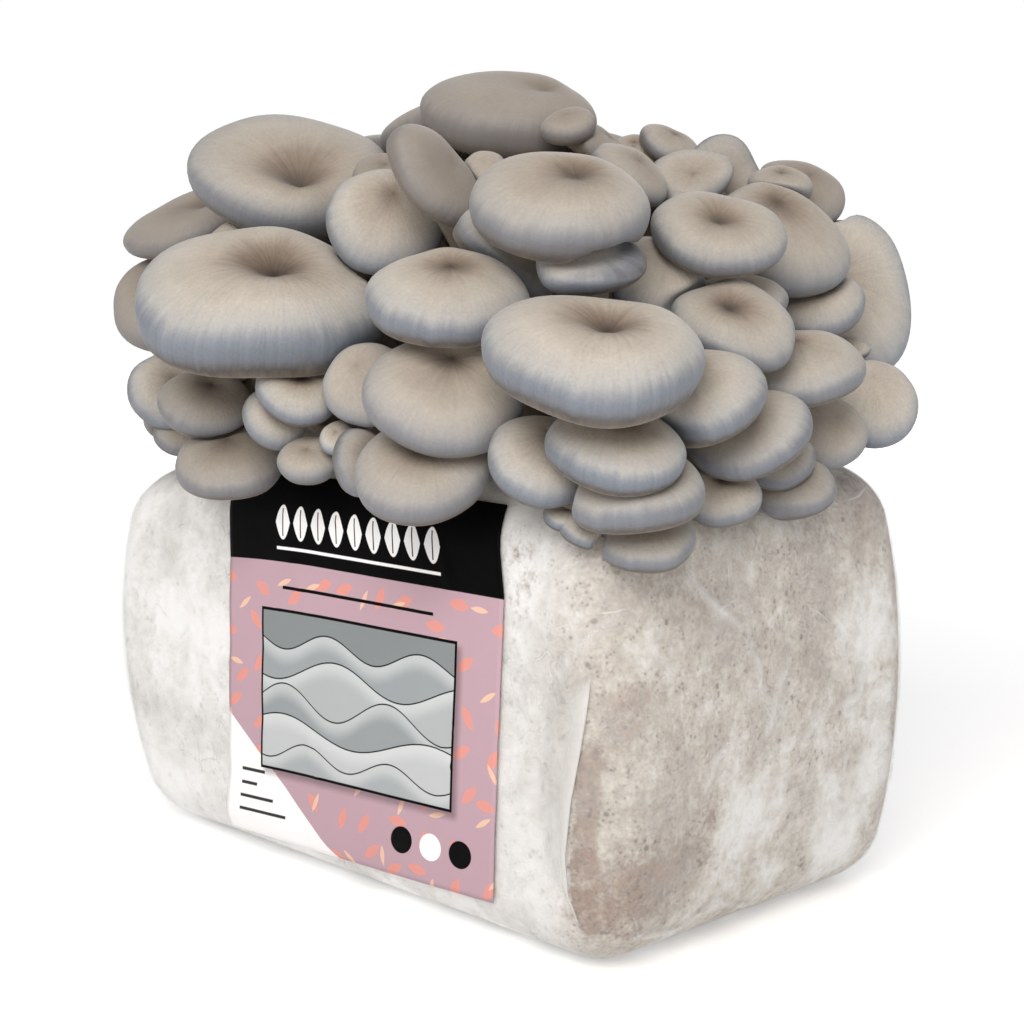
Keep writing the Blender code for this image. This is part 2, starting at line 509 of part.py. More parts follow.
def add_block_and_bag(kit):
    look = material("colonised_sawdust", (0.62, 0.52, 0.40), 0.9)
    block = bag_form("block", BAG_WALL + TOUCH_GAP, lambda middle: True)
    add_object(block, "block", kit, look)

    look = material("film", (0.85, 0.83, 0.80), 0.35)
    bag = add_object(bag_form("bag", 0.0, beside_opening), "bag", kit, look)
    wall = bag.modifiers.new("wall", "SOLIDIFY")
    wall.thickness = BAG_WALL
    wall.offset = -1
    wall.use_even_offset = True

    look = material("printed_label", (0.60, 0.44, 0.48), 0.4)
    label = add_object(bag_form("label", -TOUCH_GAP, under_label), "label", kit, look)
    wall = label.modifiers.new("wall", "SOLIDIFY")
    wall.thickness = LABEL_WALL
    wall.offset = 1
    wall.use_even_offset = True


def cap_form(name, mushroom, tests):
    """A cap: a sphere whose points are moved to the cap's section, then pressed into place."""
    bm = bmesh.new()
    bmesh.ops.create_uvsphere(bm, u_segments=CAP_SEGMENTS, v_segments=CAP_RINGS, radius=1.0)
    ball = np.array([vertex.co for vertex in bm.verts])
    step = np.arccos(np.clip(ball[:, 2], -1, 1)) / pi
    points = mushroom.skin(step, np.arctan2(ball[:, 1], ball[:, 0]))
    for vertex, point in zip(bm.verts, press(points, mushroom.anchor, tests)):
        vertex.co = point
    bmesh.ops.triangulate(bm, faces=bm.faces)
    return to_mesh(bm, name)


def stem_tubes(mushrooms):
    """The stems of some mushrooms as one mesh of tubes."""
    curve = bpy.data.curves.new("stem_lines", "CURVE")
    curve.dimensions = "3D"
    curve.bevel_depth = 1.0
    curve.bevel_resolution = (STEM_SIDES - 4) // 2
    curve.use_fill_caps = True
    for mushroom in mushrooms:
        spline = curve.splines.new("POLY")
        spline.points.add(STEM_POINTS - 1)
        for point, place, radius in zip(spline.points, mushroom.stem, mushroom.stem_radius):
            point.co = (*place, 1.0)
            point.radius = radius
    lines = bpy.data.objects.new("stem_lines", curve)
    bpy.context.scene.collection.objects.link(lines)
    evaluated = lines.evaluated_get(bpy.context.evaluated_depsgraph_get())
    mesh = bpy.data.meshes.new_from_object(evaluated)
    bpy.data.objects.remove(lines)
    return mesh


def largest_body(bm):
    """Delete all but the largest of the mesh's separate bodies."""
    bodies = []
    left = set(bm.faces)
    while left:
        body = [left.pop()]
        for face in body:
            near = {other for edge in face.edges for other in edge.link_faces} & left
            body.extend(near)
            left -= near
        bodies.append(body)
    bodies.sort(key=len)
    small = [face for body in bodies[:-1] for face in body]
    bmesh.ops.delete(bm, geom=small, context="FACES")


def untangle(bm):
    """Relax the places where a mesh with few faces runs through itself."""
    for step in range(UNTANGLE_STEPS):
        bm.faces.ensure_lookup_table()
        tree = BVHTree.FromBMesh(bm)
        crossed = set()
        for first, second in tree.overlap(tree):
            verts = set(bm.faces[first].verts), set(bm.faces[second].verts)
            if not verts[0] & verts[1]:
                crossed |= verts[0] | verts[1]
        if not crossed:
            break
        args = {"use_axis_x": True, "use_axis_y": True, "use_axis_z": True}
        bmesh.ops.smooth_vert(bm, verts=list(crossed), factor=0.5, **args)


def settle(target, name):
    """Turn an object's modifiers into plain mesh, as one body."""
    evaluated = target.evaluated_get(bpy.context.evaluated_depsgraph_get())
    bm = bmesh.new()
    bm.from_mesh(evaluated.to_mesh())
    bmesh.ops.remove_doubles(bm, verts=bm.verts, dist=0.00002)
    bmesh.ops.triangulate(bm, faces=bm.faces)
    largest_body(bm)
    if target.modifiers[0].type == "DECIMATE":
        untangle(bm)
    target.modifiers.clear()
    look = target.data.materials[0]
    target.data = to_mesh(bm, name)
    target.data.materials.append(look)


def cut_clear(target, cutters, solver="EXACT"):
    """Cut an object clear of all the cutters that it runs into, in one go."""
    dependencies = bpy.context.evaluated_depsgraph_get()
    body = BVHTree.FromObject(target, dependencies)
    met = bpy.data.collections.new(f"{target.name}_cutters")
    for cutter in cutters:
        if body.overlap(BVHTree.FromObject(cutter, dependencies)):
            met.objects.link(cutter)
    if met.objects:
        bpy.context.scene.collection.children.link(met)
        cut = target.modifiers.new("clearance", "BOOLEAN")
        cut.operation = "DIFFERENCE"
        cut.operand_type = "COLLECTION"
        cut.collection = met
        cut.solver = solver


def neighbours(mushroom, others):
    return [other for other in others if other is not mushroom
            and np.linalg.norm(other.centre - mushroom.centre) < other.size + mushroom.size]


def add_caps(kit, cutters, caps, everyone):
    look = material("cap_skin", (0.43, 0.38, 0.34), 0.6)
    clear = []
    for number, cap in enumerate(caps):
        tests = [other.holds for other in neighbours(cap, caps[:number])]
        tests += [other.stem_holds for other in everyone if other is not cap]
        tests.append(bag_holds)
        name = f"cap_{number + 1:02d}"
        new = add_object(cap_form(name, cap, tests), name, kit, look)
        cut_clear(new, clear)
        if new.modifiers:
            settle(new, name)
        copy = swollen(new.data, f"{name}_clearance", TOUCH_GAP)
        clear.append(add_object(copy, f"{name}_clearance", cutters))
    return clear


def add_stems(kit, cutters, caps, buttons, clear):
    """The stems in three bunches, each with its little caps and its foot on the block."""
    look = material("stem_flesh", (0.75, 0.70, 0.62), 0.7)
    top = bag_form("block_clearance", BAG_WALL, lambda middle: True)
    sleeve = bag_form("bag_clearance", -TOUCH_GAP, beside_opening)
    clear.append(add_object(top, "block_clearance", cutters))
    sleeve = add_object(sleeve, "bag_clearance", cutters)
    wall = sleeve.modifiers.new("wall", "SOLIDIFY")
    wall.thickness = BAG_WALL + 2 * TOUCH_GAP
    clear.append(sleeve)

    for name, bunch_x in BUNCHES.items():
        mushrooms = [mushroom for mushroom in caps + buttons if mushroom.bunch == name]
        bm = bmesh.new()
        bm.from_mesh(stem_tubes(mushrooms))
        bmesh.ops.remove_doubles(bm, verts=bm.verts, dist=0.00001)
        for button in buttons:
            if button.bunch == name:
                tests = [other.holds for other in neighbours(button, caps)] + [bag_holds]
                bm.from_mesh(cap_form("button", button, tests))
        foot = bmesh.ops.create_icosphere(bm, subdivisions=3, radius=1.0)["verts"]
        bmesh.ops.scale(bm, vec=BASE_SIZE, verts=foot)
        bmesh.ops.translate(bm, vec=(bunch_x, 0, BAG_HEIGHT), verts=foot)
        bunch = add_object(to_mesh(bm, name), name, kit, look)
        remesh = bunch.modifiers.new("grow_together", "REMESH")
        remesh.voxel_size = STEM_VOXEL
        settle(bunch, name)
        fewer = bunch.modifiers.new("fewer_faces", "DECIMATE")
        fewer.ratio = BUNCH_FACES / len(bunch.data.polygons)
        settle(bunch, name)
        cut_clear(bunch, clear, "MANIFOLD")
        settle(bunch, name)
        copy = swollen(bunch.data, f"{name}_clearance", TOUCH_GAP)
        clear.append(add_object(copy, f"{name}_clearance", cutters))


for old in list(bpy.data.objects):
    bpy.data.objects.remove(old)
kit = bpy.data.collections.new("mushroom_grow_kit")
cutters = bpy.data.collections.new("cutters")
bpy.context.scene.collection.children.link(kit)
bpy.context.scene.collection.children.link(cutters)

caps, buttons = grow_cluster()
add_block_and_bag(kit)
clear = add_caps(kit, cutters, caps, caps + buttons)
add_stems(kit, cutters, caps, buttons, clear)
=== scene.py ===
"""Looks of an oyster mushroom grow kit: a block of colonised sawdust in its film bag, a printed
label on the front, and a crowded cluster of mushrooms growing out of the top of the bag.

Metres, +Z up. The label faces -Y. The origin is in the middle of the flat underside.
"""

from collections import namedtuple
from math import cos, pi, radians, sin

import bmesh
import bpy
import numpy as np
from mathutils import Matrix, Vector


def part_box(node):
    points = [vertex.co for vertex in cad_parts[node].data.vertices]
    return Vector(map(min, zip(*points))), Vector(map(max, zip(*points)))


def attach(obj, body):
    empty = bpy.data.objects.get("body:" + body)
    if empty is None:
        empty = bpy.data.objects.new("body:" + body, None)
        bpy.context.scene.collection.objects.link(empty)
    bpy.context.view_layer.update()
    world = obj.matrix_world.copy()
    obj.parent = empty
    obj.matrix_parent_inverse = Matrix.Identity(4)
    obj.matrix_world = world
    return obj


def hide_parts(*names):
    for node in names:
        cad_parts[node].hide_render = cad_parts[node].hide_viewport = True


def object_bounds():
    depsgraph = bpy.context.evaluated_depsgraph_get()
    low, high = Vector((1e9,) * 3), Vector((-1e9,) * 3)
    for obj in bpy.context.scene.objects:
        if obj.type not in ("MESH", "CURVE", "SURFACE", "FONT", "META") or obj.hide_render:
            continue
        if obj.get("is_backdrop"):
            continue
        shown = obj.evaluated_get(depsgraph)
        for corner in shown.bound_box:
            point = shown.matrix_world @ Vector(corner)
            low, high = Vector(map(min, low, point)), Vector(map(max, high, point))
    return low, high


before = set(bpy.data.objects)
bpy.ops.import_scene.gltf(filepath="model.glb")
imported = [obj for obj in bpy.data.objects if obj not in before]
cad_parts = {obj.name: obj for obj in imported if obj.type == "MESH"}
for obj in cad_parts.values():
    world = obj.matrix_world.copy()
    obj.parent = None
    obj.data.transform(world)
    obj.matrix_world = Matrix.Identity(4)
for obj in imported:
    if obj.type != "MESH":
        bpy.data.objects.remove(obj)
cad_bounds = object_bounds()

# It comes first because the caps at the front are placed along its lines of sight.
PICTURE = 1024
LENS = 70.0
SENSOR = 36.0
NEAREST_SEEN = 0.01
EYE_AZIMUTH = radians(46)
EYE_ELEVATION = radians(8.5)
EYE_DISTANCE = 0.632
EYE_ASIDE = 0.008
EYE_HEIGHT = 0.1085

eye_right = np.array((cos(EYE_AZIMUTH), sin(EYE_AZIMUTH), 0.0))
eye_level = np.array((sin(EYE_AZIMUTH), -cos(EYE_AZIMUTH), 0.0))
eye_back = eye_level * cos(EYE_ELEVATION) + np.array((0.0, 0.0, sin(EYE_ELEVATION)))
eye_up = np.cross(eye_back, eye_right)
eye_aim = eye_right * EYE_ASIDE + np.array((0.0, 0.0, EYE_HEIGHT))
eye_place = eye_aim + eye_back * EYE_DISTANCE


def put(name, data):
    """A new object in the scene."""
    new = bpy.data.objects.new(name, data)
    bpy.context.scene.collection.objects.link(new)
    return new


def stand(thing, spot, right, up, back):
    """Place a camera or a lamp so that it looks away from its back."""
    turn = Matrix((right, up, back)).transposed().to_4x4()
    thing.matrix_world = Matrix.Translation(spot) @ turn


camera = put("camera", bpy.data.cameras.new("camera"))
camera.data.lens = LENS
camera.data.sensor_width = SENSOR
camera.data.clip_start = NEAREST_SEEN
stand(camera, eye_place, eye_right, eye_up, eye_back)
bpy.context.scene.camera = camera


# The block is hardwood sawdust that the mushroom's white mycelium has grown through and bound
# together. It was pressed in its bag, so it is a soft box with a lumpy skin, whitest on the front
# and left and browner at the right-hand end.
BELLY = np.array((0.0075, 0.006))
ROUNDING = 0.017
LEFT_TAPER = 0.10
LEFT_SAG = 0.11
FILM = 0.0008
BLOCK_CUTS = 84
BLOCK_PROUD = 0.0003
BLOCK_LUMPS = 0.0001
ON_FACE = 1e-5
SOUGHT_ROUND = (-0.21, 0.125, 671)
SOUGHT_HEIGHTS = (0.001, 0.128, 255)
bag_high = np.array(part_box("bag")[1])
half = np.array((bag_high[0] - BELLY[0], bag_high[1] - BELLY[1], bag_high[2] / 2))


def lumps(points, wavelength, seed, count=7):
    """Soft lumps from -1 to 1, a few waves that run in seeded directions."""
    rng = np.random.default_rng(seed)
    ways = rng.normal(size=(count, 3))
    ways = ways / np.linalg.norm(ways, axis=1)[:, None]
    lengths = wavelength * rng.uniform(0.7, 1.5, count)
    phases = rng.uniform(0, 2 * pi, count)
    waves = np.sin(2 * pi * (points @ ways.T) / lengths + phases)
    return waves.sum(axis=-1) / count * 1.6


def smooth_step(value, low, high):
    share = np.clip((value - low) / (high - low), 0.0, 1.0)
    return share * share * (3 - 2 * share)


def belly_and_taper(level):
    """How much the bag is wider and deeper at a height from -1 to 1, and narrower on its left."""
    belly = 1 + (1 - level[:, None] ** 2) * BELLY / half[:2]
    return belly, 1 - LEFT_TAPER * (0.5 - 0.5 * level) ** 2


def sagged(x):
    """How high the bag is towards its left end, as a share."""
    return 1 - LEFT_SAG * np.maximum(0.0, -x / half[0]) ** 2


def filled_out(points):
    """From a plain rounded box, its middle at the origin, to the form of the filled bag."""
    belly, taper = belly_and_taper(points[:, 2] / half[2])
    x, y = (points[:, :2] * belly).T
    x = np.where(x < 0, x * taper, x)
    return np.stack((x, y, (points[:, 2] + half[2]) * sagged(x)), axis=1)


def drawn_in(points):
    """From the form of the filled bag back to the plain rounded box."""
    x, y, z = points.T
    z = z / sagged(x) - half[2]
    belly, taper = belly_and_taper(np.clip(z / half[2], -1, 1))
    x = np.where(x < 0, x / taper, x)
    return np.stack((x / belly[:, 0], y / belly[:, 1], z), axis=1)


def on_bag(cube, inset):
    """From points on a plain box to the bag's surface, and the way out at each of them."""
    core = np.clip(cube, ROUNDING - half, half - ROUNDING)
    out = cube - core
    way = out / np.linalg.norm(out, axis=1)[:, None]
    return filled_out(core + way * (ROUNDING - inset)), way


def unroll(cube):
    """Round from the corner beside the label, and height, for points on the plain box."""
    at_end = cube[:, 0] > half[0] - ON_FACE
    around = np.where(at_end, cube[:, 1] + half[1], cube[:, 0] - half[0])
    return np.stack((around, cube[:, 2] + half[2]), axis=1)


def roll_up(flat):
    """The plain box's points from places round the corner beside the label and heights."""
    x = half[0] + np.minimum(flat[:, 0], 0)
    y = np.maximum(flat[:, 0], 0) - half[1]
    return np.stack((x, y, flat[:, 1] - half[2]), axis=1)


def shown(cube):
    """Which points are on the front or the right-hand end, which the eye sees."""
    return (cube[:, 0] > half[0] - ON_FACE) | (cube[:, 1] < ON_FACE - half[1])


grid = np.meshgrid(np.linspace(*SOUGHT_ROUND), np.linspace(*SOUGHT_HEIGHTS))
bag_flat = np.stack([side.ravel() for side in grid], axis=1)
bag_points, _ = on_bag(roll_up(bag_flat), 0.0)
away = bag_points - eye_place
bag_seen = np.stack((away @ eye_right, -(away @ eye_up)), axis=1) / -(away @ eye_back)[:, None]
bag_seen = bag_seen * PICTURE * LENS / SENSOR + PICTURE / 2


def seen_on_bag(spots):
    """The unrolled places on the bag, and the points there, that are seen at picture spots."""
    nearest = [int(np.argmin(((bag_seen - spot) ** 2).sum(axis=1))) for spot in np.array(spots)]
    return bag_flat[nearest], bag_points[nearest]


def from_line(flat, line):
    """How far flat points are from a line that runs through the given points."""
    least = np.full(len(flat), 1.0)
    for start, end in zip(line, line[1:]):
        along = end - start
        share = np.clip((flat - start) @ along / (along @ along), 0, 1)
        least = np.minimum(least, np.linalg.norm(flat - start - share[:, None] * along, axis=1))
    return least


def box_grid(cuts):
    """A finely cut box of the bag's size, as a mesh with its middle at the origin."""
    bm = bmesh.new()
    bmesh.ops.create_cube(bm, size=1.0)
    bmesh.ops.subdivide_edges(bm, edges=bm.edges, cuts=cuts, use_grid_fill=True)
    bmesh.ops.scale(bm, vec=half * 2, verts=bm.verts)
    return bm


def places(bm):
    return np.array([vertex.co for vertex in bm.verts])


def form(bm, points, name, values):
    """Move a mesh's vertices to the points, and keep a named value at each for its material."""
    kinds = bm.verts.layers
    layer = (kinds.float_vector if values.ndim > 1 else kinds.float).new(name)
    for vertex, point, value in zip(bm.verts, points, values):
        vertex.co = point
        vertex[layer] = value


def piece(bm, name, look):
    """A shown object at the origin, smooth, with its material."""
    mesh = bpy.data.meshes.new(name)
    bm.to_mesh(mesh)
    bm.free()
    mesh.shade_smooth()
    mesh.materials.append(look)
    return put(name, mesh)


def linear(hex_colour):
    """An sRGB colour such as c8b8a0 as linear red, green, blue and alpha."""
    values = [int(hex_colour[at:at + 2], 16) / 255 for at in (0, 2, 4)]
    return (*(v / 12.92 if v <= 0.04045 else ((v + 0.055) / 1.055) ** 2.4 for v in values), 1.0)


def give(socket, value):
    """Set an input to a value or a hex colour, or link another node's output to it."""
    if isinstance(value, bpy.types.NodeSocket):
        tree.links.new(value, socket)
    else:
        socket.default_value = linear(value) if socket.type == "RGBA" else value


# What some kinds of node are set to all through, and two settings of a sum
USUAL = {"MapRange": {"interpolation_type": "SMOOTHSTEP"}, "Mix": {"data_type": "RGBA"}}
TIMES = {"operation": "MULTIPLY"}
LESS = {"operation": "SUBTRACT"}


def add(kind, *values, out=None, stops=(), **named):
    """Add a node to the tree in hand, and return the output asked for, or its first one. Values
    go to its inputs in order or by their capital names, small names are its settings, and stops
    are a ramp's places and colours."""
    prefixes = ("ShaderNode", "GeometryNode", "Node")
    new = tree.nodes.new(next(name + kind for name in prefixes if hasattr(bpy.types, name + kind)))
    for name, value in {**USUAL.get(kind, {}), **named}.items():
        if name.islower():
            setattr(new, name, value)
    for socket, value in zip([socket for socket in new.inputs if socket.enabled], values):
        give(socket, value)
    for name, value in named.items():
        if not name.islower():
            give(new.inputs[name], value)
    if stops:
        ramp = new.color_ramp
        while len(ramp.elements) < len(stops):
            ramp.elements.new(1.0)
        for element, (place, shade) in zip(ramp.elements, stops):
            element.position = place
            element.color = linear(shade)
    return new.outputs[out] if out else next((one for one in new.outputs if one.enabled), new)


def weighed(total, *parts):
    """The sum of a number and some patterns, each times its weight."""
    for pattern, weight in parts:
        total = add("Math", pattern, weight, total, operation="MULTIPLY_ADD")
    return total


def new_look(name, **finish):
    """A material of its own, its tree, and its shader's inputs with the plain values set."""
    look = bpy.data.materials.new(name)
    look.use_nodes = True
    shader = look.node_tree.nodes["Principled BSDF"].inputs
    for socket, value in finish.items():
        give(shader[socket.replace("_", " ")], value)
    return look, look.node_tree, shader


# Mycelium over sawdust: chalky and matt, in clouds a few centimetres across with a fine grain,
# with tan sawdust between them, reddish brown blots and brown specks of bare wood up to 2 mm wide.
# The blots on the front and the right-hand end are where the picture shows them: the spot in the
# picture, their radius in millimetres and their strength, above 0 brown and below 0 white. Beside
# the corner fold a narrow wedge is painted brown.
BROWN_WEDGE = ((590, 762), (588, 800), (584, 845), (583, 890), (590, 925))
BROWN_WEDGE_WIDTH = 0.0042
BROWN_WEDGE_STRENGTH = 1.3
BLOTS = ((652, 884, 14, 0.8), (618, 908, 10, 0.9), (700, 852, 8, 0.6), (636, 702, 7, 0.7),
         (606, 738, 6, 0.5), (716, 814, 5, 0.8), (852, 492, 8, 0.7), (862, 536, 7, 0.7),
         (706, 596, 6, 0.5), (810, 660, 7, 0.4), (690, 620, 9, 0.3), (655, 600, 8, 0.3),
         (520, 560, 8, 0.5), (530, 600, 7, 0.3), (868, 615, 16, -1.1), (765, 800, 15, -0.9),
         (850, 790, 20, -1.1), (830, 860, 12, -0.8), (650, 650, 9, -0.4), (735, 560, 10, -0.5))
# The specks: their spacing, their radius as a share of it, the size of their clusters, and how
# common and how strong they are
SPECKS = ((3.4, 0.34, 9, 0.50, 0.9), (1.6, 0.36, 6, 0.47, 0.75))
BROWN_END = (0.085, 0.112)

mycelium, tree, shader = new_look("mycelium_on_sawdust", Roughness=0.85, IOR=1.4)
place = add("TexCoord", out="Object")
along = add("SeparateXYZ", place)
at_the_end = add("MapRange", along, *BROWN_END)
clouds = add("TexNoise", place, 1000 / 30, 9, 0.66)
grain = add("TexNoise", place, 1000 / 4.5, 8, 0.8)
crumbs = add("TexNoise", place, 1000 / 1.3, 4, 0.7)
blot = add("Attribute", out="Fac", attribute_name="blot")
bare = weighed(0.0, (clouds, 0.54), (grain, 0.32), (crumbs, 0.14), (blot, 0.065))
ragged = add("TexNoise", place, 1000 / 5, 8, 0.8)
brown = add("MapRange", weighed(-1.5, (blot, 1.0), (ragged, 3.0)), 0.20, 0.90)
brown = add("Math", brown, add("MapRange", grain, 0.35, 0.60, 0.35, 0.90), **TIMES)
white = add("ValToRGB", bare, stops=(
    (0.44, "fcfcfc"), (0.50, "f6f5f4"), (0.56, "e6e4e1"), (0.61, "d3cfcb"), (0.70, "b0a99f")))
tan = add("ValToRGB", bare, stops=(
    (0.38, "f2f1f0"), (0.44, "e0dcd7"), (0.50, "c5bcb0"), (0.56, "aa9b8a"), (0.65, "84705c")))
shade = add("Mix", at_the_end, white, tan)
shade = add("Mix", brown, shade, "84644f")
crumbled = add("MapRange", crumbs, 0.30, 0.70)
shade = add("Mix", 0.36, shade, crumbled, blend_type="OVERLAY")
stain = add("MapRange", add("TexNoise", place, 1000 / 17, 7, 0.7), 0.54, 0.68)
stain = add("Math", stain, add("MapRange", bare, 0.44, 0.56, 0.0, 0.5), **TIMES)
shade = add("Mix", add("Math", stain, at_the_end, **TIMES), shade, "a37a62")
for wide, across, cluster, low, strength in SPECKS:
    speck = add("TexVoronoi", place, 1000 / wide)
    speck = add("MapRange", speck, across / 2, across, 1.0, 0.0)
    chosen = add("TexNoise", place, 1000 / cluster, 4, 0.65)
    for mask in (add("MapRange", chosen, low, low + 0.10),
                 add("MapRange", bare, 0.44, 0.53, 0.0, strength),
                 add("MapRange", along, *BROWN_END, 0.30, 1.0)):
        speck = add("Math", speck, mask, **TIMES)
    shade = add("Mix", speck, shade, "4f3b2c")
give(shader["Base Color"], shade)
give(shader["Normal"], add("Bump", Height=grain, Distance=0.0008))

bm = box_grid(BLOCK_CUTS)
cube = places(bm)
points, ways = on_bag(cube, FILM)
points += ways * (BLOCK_PROUD + BLOCK_LUMPS * lumps(points, 0.028, 11))[:, None]
# A narrow wedge beside the corner fold is painted brown through the blot values.
wedge = from_line(unroll(cube), seen_on_bag(BROWN_WEDGE)[0]) / BROWN_WEDGE_WIDTH
blots = np.where(shown(cube), BROWN_WEDGE_STRENGTH * np.exp(-(wedge ** 4)), 0.0)
for seen_x, seen_y, radius, strength in BLOTS:
    apart = np.linalg.norm(points - seen_on_bag([(seen_x, seen_y)])[1][0], axis=1) * 1000 / radius
    blots += strength * np.exp(-(apart ** 2))
form(bm, points, "blot", blots)
block = piece(bm, "block_of_mycelium", mycelium)
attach(block, "root")
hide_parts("block")


# The bag is clear polypropylene film, shrunk onto the block. Its spare film is folded flat round
# the corner beside the label and across the right-hand end, and it is open at the top where the
# mushrooms come out.
BAG_CUTS = 96
FILM_PROUD = 0.0002
FILM_SWELLS = 0.0002
FILM_RIPPLES = 0.0001
OPENING_HALF_WIDTH = 0.074
OPENING_HALF_DEPTH = 0.040
CRUMPLE_HEIGHT = 0.0004
CRUMPLE_SPACING = 0.012
CRUMPLE_SLANT = np.array((0.30, 0.30, 0.16))
CRUMPLE_SEED = 23
CREASE_WIDTH = 0.0013
CREASE_WOBBLE = 0.0011
CREASE_HEIGHT = 0.0010
# The corner fold's free edge and the creases, as spots in the picture
CORNER_FOLD = ((593, 662), (588, 713), (581, 754), (573, 802), (567, 856), (570, 895), (578, 922))
FOLD_WIDTH = 0.013
FOLD_LIFT = 0.0012
FOLD_SUNK = 0.0002
FOLD_CELLS = (70, 12)
END_CREASES = (((559, 678), (573, 652), (592, 632), (618, 612)),
               ((689, 577), (706, 596), (724, 615), (746, 631), (757, 664), (762, 700)),
               ((784, 675), (774, 700), (765, 732)),
               ((863, 669), (856, 700), (838, 708), (820, 716), (800, 745)),
               ((636, 934), (676, 930), (696, 915), (717, 903), (743, 906)),
               ((728, 742), (712, 760), (706, 790)),
               ((540, 700), (549, 760), (545, 830), (556, 890)))
creases = [seen_on_bag(crease)[0] for crease in END_CREASES]


def crumples(points):
    """Sharp slanting creases from 0 to 1, in some places more than others."""
    slanting = points @ CRUMPLE_SLANT + 0.006 * lumps(points, 0.045, CRUMPLE_SEED)
    folded = 1 - np.minimum(np.abs(np.sin(2 * pi * slanting / CRUMPLE_SPACING)) / 0.22, 1)
    return folded * smooth_step(lumps(points, 0.030, CRUMPLE_SEED + 1), 0.15, 0.7)


def creased(cube, points):
    """How strongly the film is creased at the corner and across the right-hand end."""
    wobble = np.stack([lumps(points, 0.012, seed) for seed in (31, 32)], axis=1) * CREASE_WOBBLE
    apart = [from_line(unroll(cube) + wobble, crease) / CREASE_WIDTH for crease in creases]
    patchy = 0.55 + 0.45 * lumps(points, 0.016, 33)
    ridges = np.max([np.exp(-(far ** 2)) for far in apart], axis=0) * patchy
    return np.where(shown(cube), ridges, 0.0)


def film_relief(cube, points):
    """How far the film stands off the bag's plain form."""
    relief = FILM_PROUD + FILM_SWELLS * lumps(points, 0.055, 21)
    relief = relief + FILM_RIPPLES * lumps(points, 0.014, 22, 12)
    relief += CRUMPLE_HEIGHT * crumples(points)
    relief += CREASE_HEIGHT * creased(cube, points)
    flat_below = smooth_step(points[:, 2], 0.001, 0.012)
    return np.maximum(relief, 0.0) * flat_below


# Polypropylene film: clear, but milky with fine scuffs and breath of moisture, with soft gloss.
# It whitens where it is folded double, along the corner fold, the creases and a web of fine
# wrinkles a centimetre or two apart.
film, tree, shader = new_look("polypropylene_film", Roughness=0.26, IOR=1.49,
                              Base_Color="e4e2df", Specular_IOR_Level=1.0)
place = add("TexCoord", out="Object")
doubled = add("Attribute", out="Fac", attribute_name="doubled")
milk = add("TexNoise", place, 1000 / 30, 6, 0.65)
milk = add("MapRange", milk, 0.38, 0.66, 0.10, 0.22)
warp = add("TexNoise", place, 55.0, 3, out="Color")
warp = add("VectorMath", warp, Scale=0.010, operation="SCALE")
warped = add("VectorMath", place, warp, operation="ADD")
wrinkle = 0.0
for wide, line_width, cluster in ((21, 0.022, 30), (11, 0.035, 20)):
    cells = add("TexVoronoi", warped, 1000 / wide, feature="DISTANCE_TO_EDGE")
    there = add("MapRange", add("TexNoise", place, 1000 / cluster, 3, 0.55), 0.55, 0.72)
    line = add("Math", add("MapRange", cells, 0.0, line_width, 1.0, 0.0), there, **TIMES)
    wrinkle = add("Math", wrinkle, line, operation="MAXIMUM")
give(shader["Alpha"], add("Clamp", weighed(0.0, (milk, 1.0), (wrinkle, 0.26), (doubled, 0.5))))
crinkle = weighed(add("TexNoise", place, 1000 / 10, 5, 0.6), (wrinkle, 0.16))
give(shader["Normal"], add("Bump", Height=crinkle, Distance=0.0013, Strength=0.9))

bm = box_grid(BAG_CUTS)
cube = places(bm)
points, ways = on_bag(cube, 0.0)
white = 0.8 * creased(cube, points) + 0.3 * crumples(points)
form(bm, points + ways * film_relief(cube, points)[:, None], "doubled", white)
middles = [(face, face.calc_center_median()) for face in bm.faces]
open_top = [face for face, middle in middles if middle.z > 0.9 * bag_high[2]
            and abs(middle.x) < OPENING_HALF_WIDTH and abs(middle.y) < OPENING_HALF_DEPTH]
bmesh.ops.delete(bm, geom=open_top, context="FACES")

# The corner fold is film lying double: a strip that rises from the bag to its free edge.
strip = bmesh.new()
bmesh.ops.create_grid(strip, x_segments=FOLD_CELLS[0], y_segments=FOLD_CELLS[1], size=0.5)
bmesh.ops.reverse_faces(strip, faces=strip.faces)
share = places(strip)[:, :2] + 0.5
edge_around, edge_height = seen_on_bag(CORNER_FOLD)[0][::-1].T
height = edge_height[0] + share[:, 0] * (edge_height[-1] - edge_height[0])
bend = np.interp(height, edge_height, edge_around)
width = FOLD_WIDTH * np.sin(pi * np.clip(1.08 - share[:, 0], 0, 1) ** 0.6) ** 0.5
cube = roll_up(np.stack((bend - width * (1 - share[:, 1]), height), axis=1))
points, ways = on_bag(cube, 0.0)
lift = film_relief(cube, points) - FOLD_SUNK + FOLD_LIFT * share[:, 1] ** 1.5
lift *= smooth_step(points[:, 2], 0.0, 0.006)
white = 1.9 * share[:, 1] - 1.0 - 1.4 * smooth_step(share[:, 0], 0.86, 1.0)
form(strip, points + ways * lift[:, None], "doubled", white)
folded = bpy.data.meshes.new("corner_fold")
strip.to_mesh(folded)
strip.free()
bm.from_mesh(folded)
bag = piece(bm, "film_bag", film)
wall = bag.modifiers.new("wall", "SOLIDIFY")
wall.thickness = FILM / 2
wall.offset = -1
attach(bag, "root")
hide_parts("bag")


